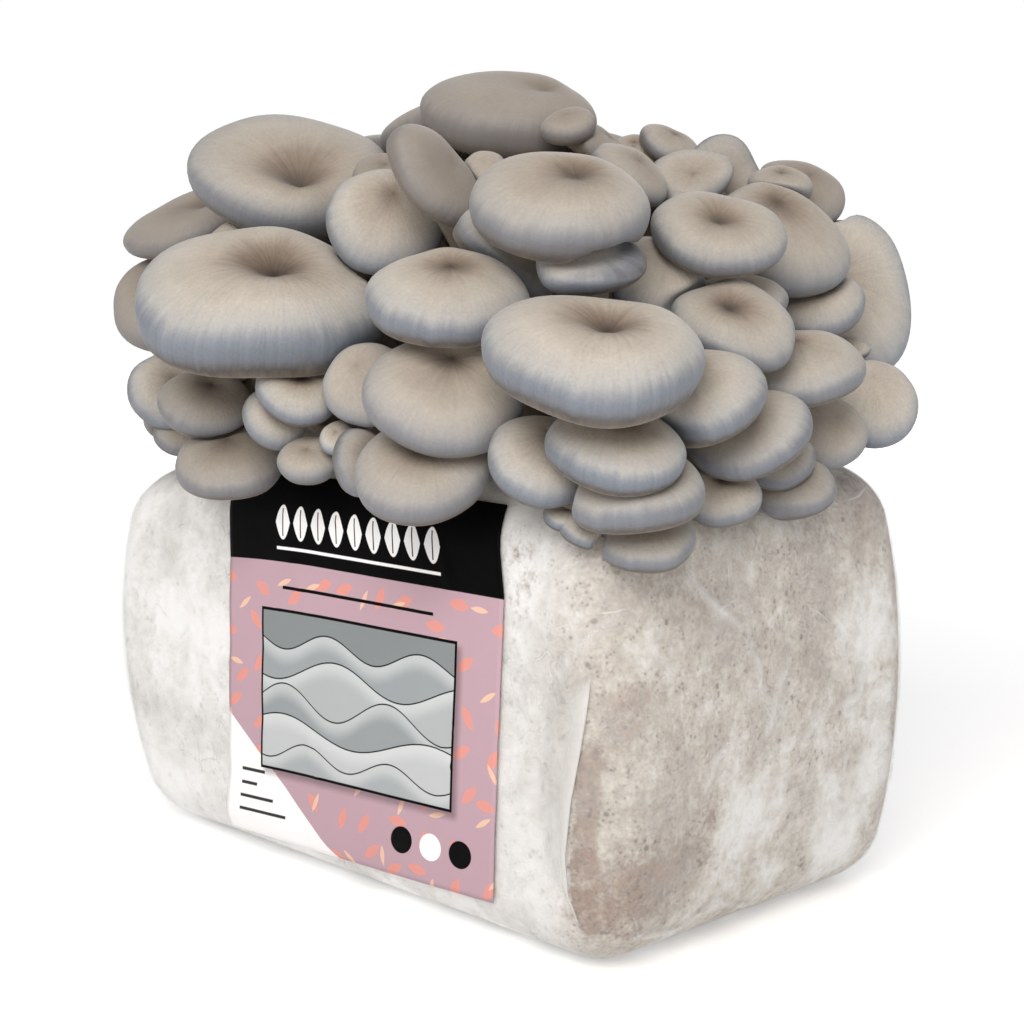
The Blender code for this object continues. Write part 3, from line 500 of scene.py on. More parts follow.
# The label is coated paper, printed and stuck to the front of the bag. It bears no words: a black
# band with a garland of leaves, a rosy field with scattered leaves, a wide grey picture of hills, a
# white corner and three plain discs. The print is drawn in millimetres from its lower left corner.
LEFT_EDGE = ((233, 823), (233, 770), (233, 710), (233, 640), (233, 556), (233, 500))
RIGHT_EDGE = ((495, 902), (498, 800), (501, 700), (505, 599), (509, 507))
LABEL_TOP = 0.128
LABEL_GAP = 0.00035
LABEL_WALL = 0.0004
LABEL_CELLS = (72, 64)
PRINT_SIZE = (121.0, 118.0)
INK_EDGE = 0.12
BAND_BOTTOM = 89.4
CORNER_WIDTH = 57.0
CORNER_HEIGHT = 41.5
BAR_LENGTHS = (12.0, 8.0, 17.0, 24.0)
PANEL = (17.0, 104.0, 25.0, 75.5)
PANEL_LINE = 0.9
DISC = 4.4
GARLAND_LEAVES = 9
# The hills, from the farthest: their level, swing, wavelength, phase and grey
HILLS = ((66.5, 3.0, 41.0, 0.4, "979c9e"), (58.0, 4.0, 57.0, 2.1, "abafb0"),
         (48.5, 4.5, 47.0, 4.0, "93989a"), (40.0, 3.5, 66.0, 5.2, "babdbe"),
         (32.0, 3.0, 38.0, 1.3, "a3a7a9"))
BLACK = "070607"
PAPER = "f1f0f0"

label_print, tree, shader = new_look("coated_paper", Roughness=0.5, IOR=1.5,
                                     Specular_IOR_Level=0.03)
place = add("TexCoord", out="Object")
printed = add("Attribute", out="Vector", attribute_name="print_place")
across, height, _ = add("SeparateXYZ", printed).node.outputs


def rectangle(left, right, bottom, top, soft=INK_EDGE):
    """A mask that is 1 inside a rectangle on the label."""
    mask = 1.0
    for reading, edge, ends in ((across, left, (0, 1)), (across, right, (1, 0)),
                                (height, bottom, (0, 1)), (height, top, (1, 0))):
        side = add("MapRange", reading, edge - soft, edge + soft, *ends)
        mask = add("Math", mask, side, **TIMES)
    return mask


def leaf(along, aside, half_length, half_width):
    """A mask of a pointed leaf, by how far along and aside of its middle a place is."""
    along = add("Math", along, half_length, operation="DIVIDE")
    rounded = add("Math", 1.0, add("Math", along, along, **TIMES), **LESS)
    aside = add("Math", aside, operation="ABSOLUTE")
    spare = weighed(0.0, (rounded, half_width), (aside, -1.0))
    return add("MapRange", spare, -INK_EDGE, INK_EDGE)


def scattered_leaves(spacing, length, width, seed):
    """A mask of leaves scattered a spacing apart, each turned its own way."""
    moved = add("VectorMath", printed, (seed, seed, 0), operation="ADD")
    cells = add("TexVoronoi", moved, 1 / spacing, Randomness=0.6, voronoi_dimensions="2D")
    cells = cells.node.outputs
    inside = add("VectorMath", moved, cells["Position"], **LESS)
    angle = add("Math", add("SeparateColor", cells["Color"]), 2 * pi, **TIMES)
    turned = add("VectorRotate", inside, Angle=angle, rotation_type="Z_AXIS")
    along, aside, _ = add("SeparateXYZ", turned).node.outputs
    return leaf(along, aside, length / 2, width / 2)


# The print's inks, each laid over the ones before it where its mask is 1
slope = weighed(0.0, (across, 1 / CORNER_WIDTH), (height, 1 / CORNER_HEIGHT))
inks = [(scattered_leaves(13.0, 8.0, 3.4, 0.0), "d8948b"),
        (scattered_leaves(19.0, 7.0, 1.7, 40.0), "e2bba4"),
        (add("MapRange", slope, 0.996, 1.004, 1.0, 0.0), PAPER)]
for number, length in enumerate(BAR_LENGTHS):
    bar_top = 24.0 - 4.6 * number
    inks.append((rectangle(7.0, 7.0 + length, bar_top - 1.1, bar_top), "3a3638"))
left, right, bottom, top = PANEL
shadow = rectangle(left + 1.5, right + 1.8, bottom - 1.8, top - 1.5, 1.6)
inks += [(add("Math", shadow, 0.55, **TIMES), "4a4045"),
         (rectangle(left, right, bottom, top), BLACK)]
picture = "838889"
for level, swing, wave, phase, grey in HILLS:
    crest = add("Math", weighed(phase, (across, 2 * pi / wave)), operation="SINE")
    under = weighed(level, (crest, swing), (height, -1.0))
    line = add("MapRange", under, -0.45, -0.25)
    picture = add("Mix", line, picture, "26282a")
    gleam = add("MapRange", under, 0.5, 6.0, 0.45, 0.0)
    gleam = add("Mix", gleam, grey, "dcdede")
    picture = add("Mix", add("MapRange", under, 0.0, 0.2), picture, gleam)
inks.append((rectangle(left + PANEL_LINE, right - PANEL_LINE, bottom + PANEL_LINE,
                       top - PANEL_LINE), picture))
for number, ink in enumerate((BLACK, PAPER, BLACK)):
    apart = add("VectorMath", printed, (84.0 + 12.0 * number, 12.5, 0.0), operation="DISTANCE")
    disc = add("MapRange", apart, DISC - INK_EDGE, DISC + INK_EDGE, 1.0, 0.0)
    inks.append((disc, ink))
inks += [(rectangle(27.0, 94.0, 81.4, 82.4), BLACK),
         (rectangle(-9.0, 140.0, BAND_BOTTOM, 140.0), BLACK)]
aside = add("Math", height, 101.0, **LESS)
for number in range(GARLAND_LEAVES):
    middle = 27.0 + 8.4 * number
    inks += [(leaf(add("Math", across, middle, **LESS), aside, 3.4, 5.0), PAPER),
             (rectangle(middle - 0.25, middle + 0.25, 97.0, 105.0), BLACK)]
inks.append((rectangle(24.0, 97.0, 93.0, 93.9), PAPER))
shade = "b79aa4"
for mask, ink in inks:
    shade = add("Mix", mask, shade, ink)
give(shader["Base Color"], shade)
fibre = add("TexNoise", place, 1000 / 14, 3, 0.5)
give(shader["Normal"], add("Bump", Height=fibre, Distance=0.0005, Strength=0.6))

bm = bmesh.new()
bmesh.ops.create_grid(bm, x_segments=LABEL_CELLS[0], y_segments=LABEL_CELLS[1], size=0.5)
share = places(bm)[:, :2] + 0.5
left_edge, right_edge = (seen_on_bag(edge)[0] for edge in (LEFT_EDGE, RIGHT_EDGE))
low = left_edge[0, 1] + (right_edge[0, 1] - left_edge[0, 1]) * share[:, 0]
height = low + (LABEL_TOP - low) * share[:, 1]
left, right = (np.interp(height, edge[:, 1], edge[:, 0]) for edge in (left_edge, right_edge))
cube = roll_up(np.stack((left + (right - left) * share[:, 0], height), axis=1))
points, ways = on_bag(cube, -LABEL_GAP)
points += ways * film_relief(cube, points)[:, None]
form(bm, points, "print_place", np.pad(share * PRINT_SIZE, ((0, 0), (0, 1))))
label = piece(bm, "printed_label", label_print)
wall = label.modifiers.new("wall", "SOLIDIFY")
wall.thickness = LABEL_WALL
wall.offset = 1
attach(label, "root")
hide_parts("label")


# The mushrooms are blue oyster mushrooms: plump cushions with a rolled-in margin and a hollow
# where the stem meets the cap, all grown in a crowd, so each is pressed out of shape by its
# neighbours. A cap's row says how it is seen, and its place is worked out along that sight.
DOME_HALF_WIDTH = 0.116
DOME_HALF_DEPTH = 0.080
DOME_CROWN = 0.098
DOME_WALL_TOP = 0.1345
DOME_SQUARENESS = 3.0
DOME_STEP = 0.001
RIM_HEIGHT = 0.42
RIM_ROLL = 0.14
UNDER_EDGE = 1 - RIM_ROLL
CROWN_POWER = 2.4
PIT_WIDTH = 0.34
PIT_DEPTH = 0.36
PIT_CORE_WIDTH = 0.16
PIT_CORE_DEPTH = 0.20
GILL_ARCH = 0.10
ANCHOR_HEIGHT = 0.24
PRESS_GAP = 0.0006
PRESS_STEPS = np.linspace(0, 1, 17)[1:]
PRESS_HALVINGS = 4
STEM_RADIUS = 0.115
STEM_LEAST_RADIUS = 0.0028
STEM_FLARE = 1.7
STEM_POINTS = 26
STEM_SINK = 0.004
STEM_LOW = 0.035
BUNCH_SPREAD = 0.28
BUNCHES = {"stems_left": -0.048, "stems_middle": 0.0, "stems_right": 0.048}
BUNCH_REACH = 0.026
BASE_SIZE = (0.023, 0.034, 0.016)

# The middle of the cap's picture, how much nearer than the dome it stands and its real width in
# millimetres, its length and thickness in percent of the width, how far its top faces the eye and
# how far it is rolled, in degrees, and the place and depth of its hollow and its waves in percent.
Cap = namedtuple("Cap", "aim_x aim_y nearer width length thick face roll pit_x pit_y pit wave")
UNITS = Cap(1, 1, 1000, 1000, 100, 100, 1, 1, 100, 100, 100, 100)
FRONT_CAPS = (
    (287, 168, 10, 61, 92, 28, 38, 8, 16, -42, 65, 5),
    (262, 294, 16, 71, 90, 35, 31, 2, 10, 5, 55, 3),
    (593, 348, 28, 56, 90, 33, 26, 4, 12, 8, 50, 3),
    (449, 294, 12, 44, 90, 33, 28, 3, 0, 40, 35, 3),
    (563, 202, 18, 47, 90, 35, 30, 6, 12, 25, 40, 3),
    (718, 230, 14, 37, 90, 28, 36, 8, 0, 10, 60, 3),
    (736, 321, 6, 36, 90, 27, 36, 12, -15, 20, 65, 6),
    (782, 240, 8, 44, 90, 33, 38, 28, -30, 40, 28, 3),
    (446, 393, 10, 42, 92, 33, 50, 4, 5, 45, 40, 3),
    (508, 110, 0, 54, 90, 33, 18, 8, 38, 10, 20, 3),
    (438, 174, 12, 34, 90, 30, 24, 50, 0, 10, 5, 3),
    (387, 220, -8, 35, 95, 36, 58, 15, 0, 40, 30, 3),
    (592, 256, 10, 29, 90, 36, 38, -8, 0, 40, 40, 3),
    (658, 279, -17, 29, 95, 36, 50, 20, 0, 40, 15, 3),
    (631, 172, -8, 25, 90, 30, 25, 35, 0, 20, 10, 3),
    (817, 304, -8, 29, 90, 34, 38, -5, 0, 40, 40, 3),
    (798, 366, 8, 35, 90, 30, 32, -2, 0, 40, 15, 3),
    (367, 384, -4, 26, 95, 33, 64, -30, 0, 40, 12, 3),
    (422, 468, 10, 37, 92, 33, 42, -3, 10, 30, 35, 3),
    (206, 402, 2, 28, 92, 36, 46, 3, 10, 40, 45, 3),
    (228, 462, 2, 32, 92, 33, 38, -3, 0, 40, 20, 3),
    (616, 445, 20, 36, 92, 33, 28, 8, 0, 40, 45, 3),
    (544, 459, 10, 29, 95, 36, 48, 26, 0, 40, 30, 3),
    (686, 397, 12, 40, 92, 33, 36, -14, -10, 40, 40, 3),
    (747, 431, 8, 35, 92, 30, 34, -18, -10, 40, 40, 3),
    (634, 487, 17, 36, 92, 33, 30, -5, 0, 40, 40, 3),
    (647, 537, 14, 26, 92, 33, 34, 3, 0, 40, 40, 3),
    (508, 248, -14, 34, 92, 33, 20, 38, 0, 20, 40, 3),
    (190, 220, -32, 47, 92, 22, 18, -18, 30, 0, 45, 5),
    (168, 297, -22, 40, 95, 33, 46, -25, 0, 20, 40, 3),
    (803, 190, -30, 28, 92, 33, 36, 25, 0, 20, 12, 3),
    (853, 289, -26, 50, 95, 20, 52, 58, -30, -35, 20, 5),
    (875, 401, -3, 28, 95, 42, 58, 30, -30, 30, 5, 3))
FRONT_BUTTONS = (
    (689, 174, -4, 24, 90, 24, 46, 5, 10, -20, 15, 8),
    (724, 169, -8, 23, 95, 15, 76, 10, 0, -40, 25, 14),
    (298, 390, 4, 25, 92, 33, 40, 10, 0, 30, 40, 3),
    (172, 390, -12, 28, 95, 36, 62, 30, 0, 20, 30, 3),
    (278, 418, 4, 20, 95, 42, 58, 30, 0, 30, 40, 3),
    (721, 495, 4, 21, 95, 36, 46, 0, 0, 40, 40, 3),
    (792, 487, 2, 24, 92, 36, 40, -15, 0, 40, 40, 3),
    (828, 432, -2, 23, 95, 40, 62, 30, 0, 30, 10, 3),
    (568, 124, 14, 16, 92, 42, 30, -10, 0, 0, 0, 2),
    (385, 175, -25, 20, 92, 36, 38, 0, 0, 20, 20, 3),
    (604, 146, -12, 22, 92, 30, 12, 35, 0, 20, 20, 3),
    (484, 170, -10, 13, 95, 42, 60, 0, 0, 20, 5, 3),
    (634, 150, -24, 14, 95, 36, 40, 0, 0, 20, 20, 3),
    (670, 144, -6, 20, 95, 33, 20, 25, 0, 20, 20, 3),
    (780, 184, -10, 20, 95, 36, 24, 5, 0, 20, 20, 3),
    (739, 300, -14, 28, 95, 30, 28, 0, 0, 20, 20, 3),
    (849, 356, -6, 14, 95, 42, 60, 0, 0, 20, 20, 3),
    (363, 461, 0, 20, 95, 36, 45, 75, 0, 20, 20, 3),
    (180, 434, -18, 17, 95, 36, 42, 25, 0, 20, 20, 3),
    (308, 459, 2, 17, 95, 40, 50, -5, 0, 20, 20, 3),
    (310, 436, -6, 9, 95, 42, 60, 0, 0, 20, 20, 3),
    (338, 438, -4, 11, 95, 42, 60, -20, 0, 20, 20, 3),
    (566, 516, 8, 12, 95, 36, 30, 14, 0, 20, 20, 3),
    (588, 530, 12, 14, 95, 36, 34, 20, 0, 20, 20, 3),
    (779, 460, 0, 20, 95, 36, 42, -18, 0, 20, 20, 3),
    (358, 270, -16, 26, 92, 33, 40, 0, 0, 20, 20, 3))
# The caps that face away from the eye: degrees round from the label and height in millimetres,
# then as above
FAR_CAPS = (
    (205, 165.5, 10, 60, 92, 32, 38, -3, 5, 10, 55, 4),
    (262, 214.5, 4, 48, 92, 32, 34, 6, 10, 10, 50, 4),
    (176, 167.5, 6, 52, 92, 33, 36, 4, 0, 30, 45, 3),
    (272, 167.5, 6, 54, 92, 33, 38, 5, 10, 20, 50, 3),
    (255, 228.5, 0, 42, 92, 33, 22, 8, 0, 20, 45, 4),
    (216, 193.5, 6, 50, 92, 33, 36, -5, 0, 20, 45, 4),
    (165, 215.5, 0, 44, 92, 33, 30, 10, 0, 20, 45, 3),
    (182, 190.5, 6, 46, 92, 33, 34, 8, 0, 20, 45, 3),
    (240, 191.5, 6, 46, 92, 33, 38, -4, 0, 30, 45, 3),
    (274, 189.5, 6, 44, 92, 33, 36, -8, 0, 30, 45, 3),
    (152, 191.5, 2, 42, 92, 33, 36, 6, 0, 30, 45, 3),
    (229, 163.5, 4, 48, 92, 33, 40, 5, 0, 30, 45, 3),
    (250, 165.5, 2, 46, 92, 33, 40, -5, 0, 30, 45, 3),
    (150, 165.5, 4, 48, 92, 33, 40, 6, 0, 30, 45, 3),
    (131, 143.5, -2, 38, 92, 33, 40, 4, 0, 30, 45, 3),
    (163, 139.5, 6, 42, 92, 34, 42, -4, 0, 40, 45, 3),
    (191, 138.5, 6, 42, 92, 34, 42, 5, 0, 40, 45, 3),
    (217, 137.5, 6, 44, 92, 34, 42, -3, 0, 40, 45, 3),
    (260, 139.5, 5, 42, 92, 34, 42, 3, 0, 40, 45, 3),
    (284, 138.5, 5, 40, 92, 34, 42, -5, 0, 40, 45, 3),
    (205, 216.5, 2, 40, 92, 33, 32, -6, 0, 20, 45, 3))
FAR_BUTTONS = (
    (322, 157.5, -16, 34, 92, 34, 36, 0, 0, 20, 20, 3),
    (147, 141.5, 2, 30, 95, 36, 42, 5, 0, 20, 20, 3),
    (238, 139.5, 2, 34, 95, 36, 42, 5, 0, 20, 20, 3),
    (301, 148, -8, 24, 95, 36, 42, 5, 0, 20, 20, 3),
    (178, 127.5, 8, 18, 95, 38, 45, 5, 0, 20, 20, 3),
    (204, 126.5, 8, 20, 95, 38, 45, -5, 0, 20, 20, 3),
    (271, 127.5, 6, 18, 95, 38, 45, 0, 0, 20, 20, 3),
    (80, 211.5, -30, 36, 92, 32, 16, 6, 0, 10, 40, 4),
    (112, 205.5, -12, 30, 92, 34, 24, -5, 0, 10, 40, 4),
    (338, 185.5, -8, 34, 92, 33, 30, 4, 0, 20, 40, 3),
    (316, 195.5, -4, 36, 92, 33, 32, -6, 0, 20, 40, 3),
    (304, 170.5, -4, 34, 92, 33, 36, 4, 0, 20, 40, 3),
    (326, 207, -30, 32, 92, 33, 22, 8, 0, 10, 40, 3))


def front_sight(row):
    """Where the eye is for a cap at the front, its line of sight, and the way to its right."""
    focus = PICTURE * LENS / SENSOR
    ray = eye_right * (row.aim_x - PICTURE / 2) + eye_up * (PICTURE / 2 - row.aim_y)
    ray = ray - eye_back * focus
    return eye_place, ray / np.linalg.norm(ray), eye_right


def far_sight(row):
    """The same for a cap on the far side."""
    around = radians(row.aim_x)
    right = np.array((cos(around), sin(around), 0.0))
    ray = np.array((-sin(around), cos(around), 0.0))
    return np.array((0.0, 0.0, row.aim_y / 1000)) - ray * EYE_DISTANCE, ray, right


def outside_dome(points):
    """Below 0 inside the dome that the middles of the caps lie on, above 0 outside it."""
    x, y, z = points.T
    square = (np.abs(x) / DOME_HALF_WIDTH) ** DOME_SQUARENESS
    square = square + (np.abs(y) / DOME_HALF_DEPTH) ** DOME_SQUARENESS
    crown = np.maximum(0.0, z - DOME_WALL_TOP) / DOME_CROWN
    return square ** (2 / DOME_SQUARENESS) + crown**2 - 1


class Mushroom:
    """One mushroom: its cap's frame and section, and the path of its stem."""

    def __init__(self, row, sight, number):
        self.row = row = Cap(*(value / unit for value, unit in zip(row, UNITS)))
        self.number = number
        eye, ray, right = sight(row)
        reach = np.arange(0.6 * EYE_DISTANCE, 1.4 * EYE_DISTANCE, DOME_STEP)
        depth = outside_dome(eye + reach[:, None] * ray)
        first = int(np.argmax(depth < 0)) if depth.min() < 0 else int(np.argmin(depth))
        self.centre = eye + (reach[first] - row.nearer) * ray

        right = right - ray * (right @ ray)
        right = right / np.linalg.norm(right)
        up = np.cross(right, ray)
        roll, face = radians(row.roll), radians(row.face)
        self.x_axis = right * cos(roll) - up * sin(roll)
        rolled_up = up * cos(roll) + right * sin(roll)
        self.z_axis = rolled_up * cos(face) - ray * sin(face)
        self.y_axis = np.cross(self.z_axis, self.x_axis)

        self.half_width = row.width / 2
        self.half_length = self.half_width * row.length
        self.thick = row.width * row.thick
        self.hollow = np.array((row.pit_x * self.half_width, row.pit_y * self.half_length))
        self.size = row.width * 0.75
        self.anchor = self.place(self.hollow[0], self.hollow[1], ANCHOR_HEIGHT * self.thick)
        self.grow_stem()

    def place(self, x, y, z):
        up = np.asarray(z) - self.thick / 2
        point = np.multiply.outer(x, self.x_axis) + np.multiply.outer(y, self.y_axis)
        return self.centre + point + np.multiply.outer(up, self.z_axis)

    def outline(self, angle):
        """How far the rim is from the hollow, all round."""
        dx, dy = np.cos(angle), np.sin(angle)
        a, b = self.half_width, self.half_length
        square = (dx / a) ** 2 + (dy / b) ** 2
        cross = self.hollow[0] * dx / a**2 + self.hollow[1] * dy / b**2
        inside = (self.hollow[0] / a) ** 2 + (self.hollow[1] / b) ** 2 - 1
        reach = (-cross + np.sqrt(cross**2 - square * inside)) / square
        turn = 1.7 * self.number
        waves = np.sin(2 * angle + turn) + 0.7 * np.sin(3 * angle - 2 * turn)
        return reach * (1 + self.row.wave * waves)

    def lift(self, share, angle):
        """How much the rim's waves raise the cap."""
        turn = 2.3 * self.number
        waves = np.sin(2 * angle - turn) + 0.6 * np.sin(4 * angle + turn)
        return self.row.wave * self.half_width * share**2 * waves

    def top(self, share):
        dome = np.sqrt(np.maximum(0.0, 1 - np.minimum(share, 1.0) ** CROWN_POWER))
        wide = PIT_DEPTH * np.exp(-((share / PIT_WIDTH) ** 2))
        core = PIT_CORE_DEPTH * np.exp(-((share / PIT_CORE_WIDTH) ** 2))
        height = RIM_HEIGHT + (1 - RIM_HEIGHT) * dome - self.row.pit * (wide + core)
        return height * self.thick

    def underside(self, share):
        arch = GILL_ARCH * (1 - ((2 * share - UNDER_EDGE) / UNDER_EDGE) ** 2)
        roll = np.clip((share - UNDER_EDGE) / RIM_ROLL, 0.0, 1.0)
        rim = RIM_HEIGHT * (1 - np.sqrt(1 - roll**2))
        return np.where(share < UNDER_EDGE, arch, rim) * self.thick

    def section(self, step):
        """The cap's section from the hollow (step 0) over the rim to the stem (step 1)."""
        over = 0.5 * pi * np.clip(step * 1.5, 0, 1) ** 1.85
        share = np.sin(over) ** (2 / CROWN_POWER)
        height = self.top(share)
        rolled = 0.5 * pi * np.clip(step * 6 - 4, 0, 1)
        below = np.clip(step * 6 - 5, 0, 1)
        share = np.where(step > 2 / 3, UNDER_EDGE + RIM_ROLL * np.cos(rolled), share)
        height = np.where(step > 2 / 3, RIM_HEIGHT * self.thick * (1 - np.sin(rolled)), height)
        share = np.where(below > 0, UNDER_EDGE * (1 - below), share)
        height = np.where(below > 0, self.underside(share), height)
        return share, height

    def skin(self, step, angle):
        """Points on the cap's surface, with its fine lumps and the folds in its hollow."""
        share, height = self.section(step)
        ripple = np.sin(5 * angle + self.number) + 0.6 * np.sin(8 * angle - 2 * self.number)
        out = share * self.outline(angle) * (1 + 0.009 * share**6 * ripple)
        x = self.hollow[0] + out * np.cos(angle)
        y = self.hollow[1] + out * np.sin(angle)
        on_top = 1 - smooth_step(step, 0.60, 0.72)
        flat = np.stack((x, y, 0 * x), axis=-1)
        lumpy = lumps(flat, 0.30 * self.row.width, self.number, 9)
        swells = lumps(flat, 0.85 * self.row.width, self.number + 500)
        folds = ripple * np.exp(-((share / 0.30 - 0.8) ** 2) * 3) * self.row.pit
        height = height + on_top * self.thick * (0.012 * lumpy + 0.045 * swells + 0.010 * folds)
        return self.place(x, y, height + self.lift(share, angle))

    def holds(self, points, gap):
        """Which points are in the cap, or nearer to it than the gap."""
        local = points - self.centre
        x = local @ self.x_axis - self.hollow[0]
        y = local @ self.y_axis - self.hollow[1]
        z = local @ self.z_axis + self.thick / 2
        angle = np.arctan2(y, x)
        share = np.maximum(np.hypot(x, y) - gap, 0.0) / self.outline(angle)
        z = z - self.lift(np.minimum(share, 1.0), angle)
        under = z < self.top(share) + gap
        over = z > self.underside(np.minimum(share, 1.0)) - gap
        return (share < 1) & under & over

    def grow_stem(self):
        """The stem's middle line, from inside the cap to the block, and its radius along it."""
        distance = {name: abs(self.centre[0] - x) for name, x in BUNCHES.items()}
        self.bunch = min(distance, key=distance.get)
        bunch_x = BUNCHES[self.bunch]
        bag_top = bag_high[2]
        across = self.centre[:2] - (bunch_x, 0.0)
        foot_across = np.clip(across * BUNCH_SPREAD, -BUNCH_REACH, BUNCH_REACH)
        foot = np.array((bunch_x + foot_across[0], foot_across[1], bag_top - STEM_SINK))
        run = self.anchor - foot
        length = np.linalg.norm(run)
        low = np.clip((bag_top + STEM_LOW - self.anchor[2]) / STEM_LOW, 0.0, 1.0)
        inward = -run * (1, 1, 0) / max(np.hypot(run[0], run[1]), 0.001)
        leave = 0.7 * inward - 0.6 * self.z_axis * (1 - low) + np.array((0, 0, 0.35 * low))
        rise = np.array((0.25 * run[0], 0.25 * run[1], 0.30 * length + 0.020 * low))
        ends = (self.anchor, self.anchor + leave * 0.34 * length, foot + rise, foot)
        step = np.linspace(0, 1, STEM_POINTS)[:, None]
        weights = ((1 - step) ** 3, 3 * step * (1 - step) ** 2, 3 * step**2 * (1 - step), step**3)
        self.stem = line = sum(weight * end for weight, end in zip(weights, ends))
        radius = max(STEM_LEAST_RADIUS, STEM_RADIUS * self.row.width)
        step = step[:, 0]
        flare = (STEM_FLARE - 1) * np.clip(1 - step / 0.35, 0, 1) ** 1.5
        self.stem_radius = radius * (1 + flare + 0.25 * step)
        over_bag = bag_top + FILM + self.stem_radius
        beside = np.abs(line[:, 0]) > OPENING_HALF_WIDTH - self.stem_radius
        beside |= np.abs(line[:, 1]) > OPENING_HALF_DEPTH - self.stem_radius
        beside &= (np.abs(line[:, :2]) < half[:2] - STEM_SINK).all(axis=1)
        line[:, 2] = np.where(beside, np.maximum(line[:, 2], over_bag), line[:, 2])

    def stem_holds(self, points, gap):
        """Which points are in the stem, or nearer to it than the gap."""
        held = np.zeros(len(points), bool)
        for start, end, radius in zip(self.stem[::2], self.stem[2::2], self.stem_radius[::2]):
            held |= from_line(points, (start, end)) < radius + gap
        return held


def bag_holds(points, gap):
    """Which points are in the bag, or nearer to it than the gap."""
    out = np.maximum(np.abs(drawn_in(points)) - half + ROUNDING, 0.0)
    return np.linalg.norm(out, axis=1) < ROUNDING + gap


def press(points, anchor, tests):
    """How far towards each point the cap can reach from its anchor before a test holds it."""
    paths = anchor + PRESS_STEPS[:, None, None] * (points - anchor)
    held = np.zeros(paths.shape[:2], bool)
    for test in tests:
        held |= test(paths.reshape(-1, 3), PRESS_GAP).reshape(held.shape)
    met = held.any(axis=0)
    high = np.where(met, PRESS_STEPS[np.argmax(held, axis=0)], 1.0)
    low = np.where(met, high - PRESS_STEPS[0], 1.0)
    for _ in range(PRESS_HALVINGS):
        middle = (low + high) / 2
        inside = np.zeros(len(points), bool)
        for test in tests:
            inside |= test(anchor + middle[:, None] * (points - anchor), PRESS_GAP)
        high = np.where(inside, middle, high)
        low = np.where(inside, low, middle)
    return low


def soften(reach, times=3):
    """Blend a field on the cap's rings and segments, without letting it grow past its least."""
    least = np.minimum(np.minimum(np.roll(reach, 1, axis=1), np.roll(reach, -1, axis=1)), reach)
    for _ in range(times):
        tall = np.concatenate((least[:1], least, least[-1:]))
        sides = np.roll(least, 1, axis=1), np.roll(least, -1, axis=1)
        least = (tall[:-2] + tall[2:] + sides[0] + sides[1] + 2 * least) / 6
    return least


def grown(front_rows, far_rows):
    """The mushrooms of a front and a far table, numbered together."""
    rows = [(row, front_sight) for row in front_rows] + [(row, far_sight) for row in far_rows]
    return [Mushroom(row, sight, number) for number, (row, sight) in enumerate(rows)]


caps = grown(FRONT_CAPS, FAR_CAPS)
buttons = grown(FRONT_BUTTONS, FAR_BUTTONS)

# Cap skin: dry, felted and matt with a faint silky sheen, softly streaked outwards. It is fawn on
# top, blue-grey round the margin and brown in the hollow, with a thin brown line at the rim. The
# hollow is painted near-black, a brown centre with painted shade laid in it, and the margin and the
# rim line are painted darker as painted shade.
cap_skin, tree, shader = new_look(
    "oyster_cap_skin", Roughness=0.62, IOR=1.4, Sheen_Weight=0.15, Sheen_Roughness=0.5,
    Subsurface_Weight=0.05, Subsurface_Radius=(0.003, 0.002, 0.0015), Subsurface_Scale=1.0)
step = add("Attribute", out="Fac", attribute_name="skin_step")
tone_and_painted_shade = add("Attribute", out="Fac", attribute_name="tone_and_painted_shade")
around = add("Attribute", out="Vector", attribute_name="skin_round")
place = add("TexCoord", out="Object")
streaks = [add("TexNoise", add("Mapping", around, Scale=scale), 1.0, detail, 0.6)
           for scale, detail in (((9, 9, 1.6), 5), ((24, 24, 3.5), 3))]
cloud = add("TexNoise", place, 1000 / 14, 4, 0.5)
felt = add("TexNoise", place, 1000 / 0.9, 3, 0.65)
# The ramp's near-black hollow and its dark margin and rim line are painted shade laid over the real
# fawn, blue-grey and brown.
shade = add("ValToRGB", weighed(-0.12, (step, 1.0), (streaks[0], 0.12), (cloud, 0.12)), stops=(
    (0.00, "1c140f"), (0.07, "392d24"), (0.14, "5d4e41"), (0.22, "867769"), (0.32, "a99e91"),
    (0.45, "b7afa5"), (0.56, "a7a5a2"), (0.65, "6e727b"), (0.73, "423931"), (0.90, "93887a")))
# Where the margin faces downwards it is painted bluer: partly the real blue-grey margin, partly
# painted cool shade from below.
up = add("SeparateXYZ", add("NewGeometry", out="Normal")).node.outputs["Z"]
blue_margin_and_cool_shade = add("MapRange", up, -0.35, 0.60, 1.0, 0.0)
blue_margin_and_cool_shade = add("Math", blue_margin_and_cool_shade, add("MapRange", step, 0.25, 0.62), **TIMES)
blue_margin_and_cool_shade = add("Math", blue_margin_and_cool_shade, add("MapRange", step, 0.68, 0.75, 0.60, 0.0), **TIMES)
shade = add("Mix", blue_margin_and_cool_shade, shade, "757d89")
mottle = weighed(-0.01, (streaks[1], 0.26), (felt, 0.42), (cloud, 0.34))
shade = add("Mix", 0.45, shade, mottle, blend_type="OVERLAY")
# Caps high up or far out on the left are painted darker as painted shade, over a tone that differs
# at random from cap to cap.
shade = add("Mix", add("Math", tone_and_painted_shade, 0.70, **TIMES), shade, "7a6f65")
give(shader["Base Color"], shade)
rough = weighed(0.0, (streaks[1], 0.6), (felt, 0.5))
give(shader["Normal"], add("Bump", Height=rough, Distance=0.00035, Strength=0.6))

# Gills: thin pale blades that hang under the cap and run from the stem to the rolled margin. Their
# colour is painted darker than the pale flesh, as painted shade under the caps.
gill_flesh, tree, shader = new_look("gill_flesh", Roughness=0.65, IOR=1.4)
place = add("TexCoord", out="Object")
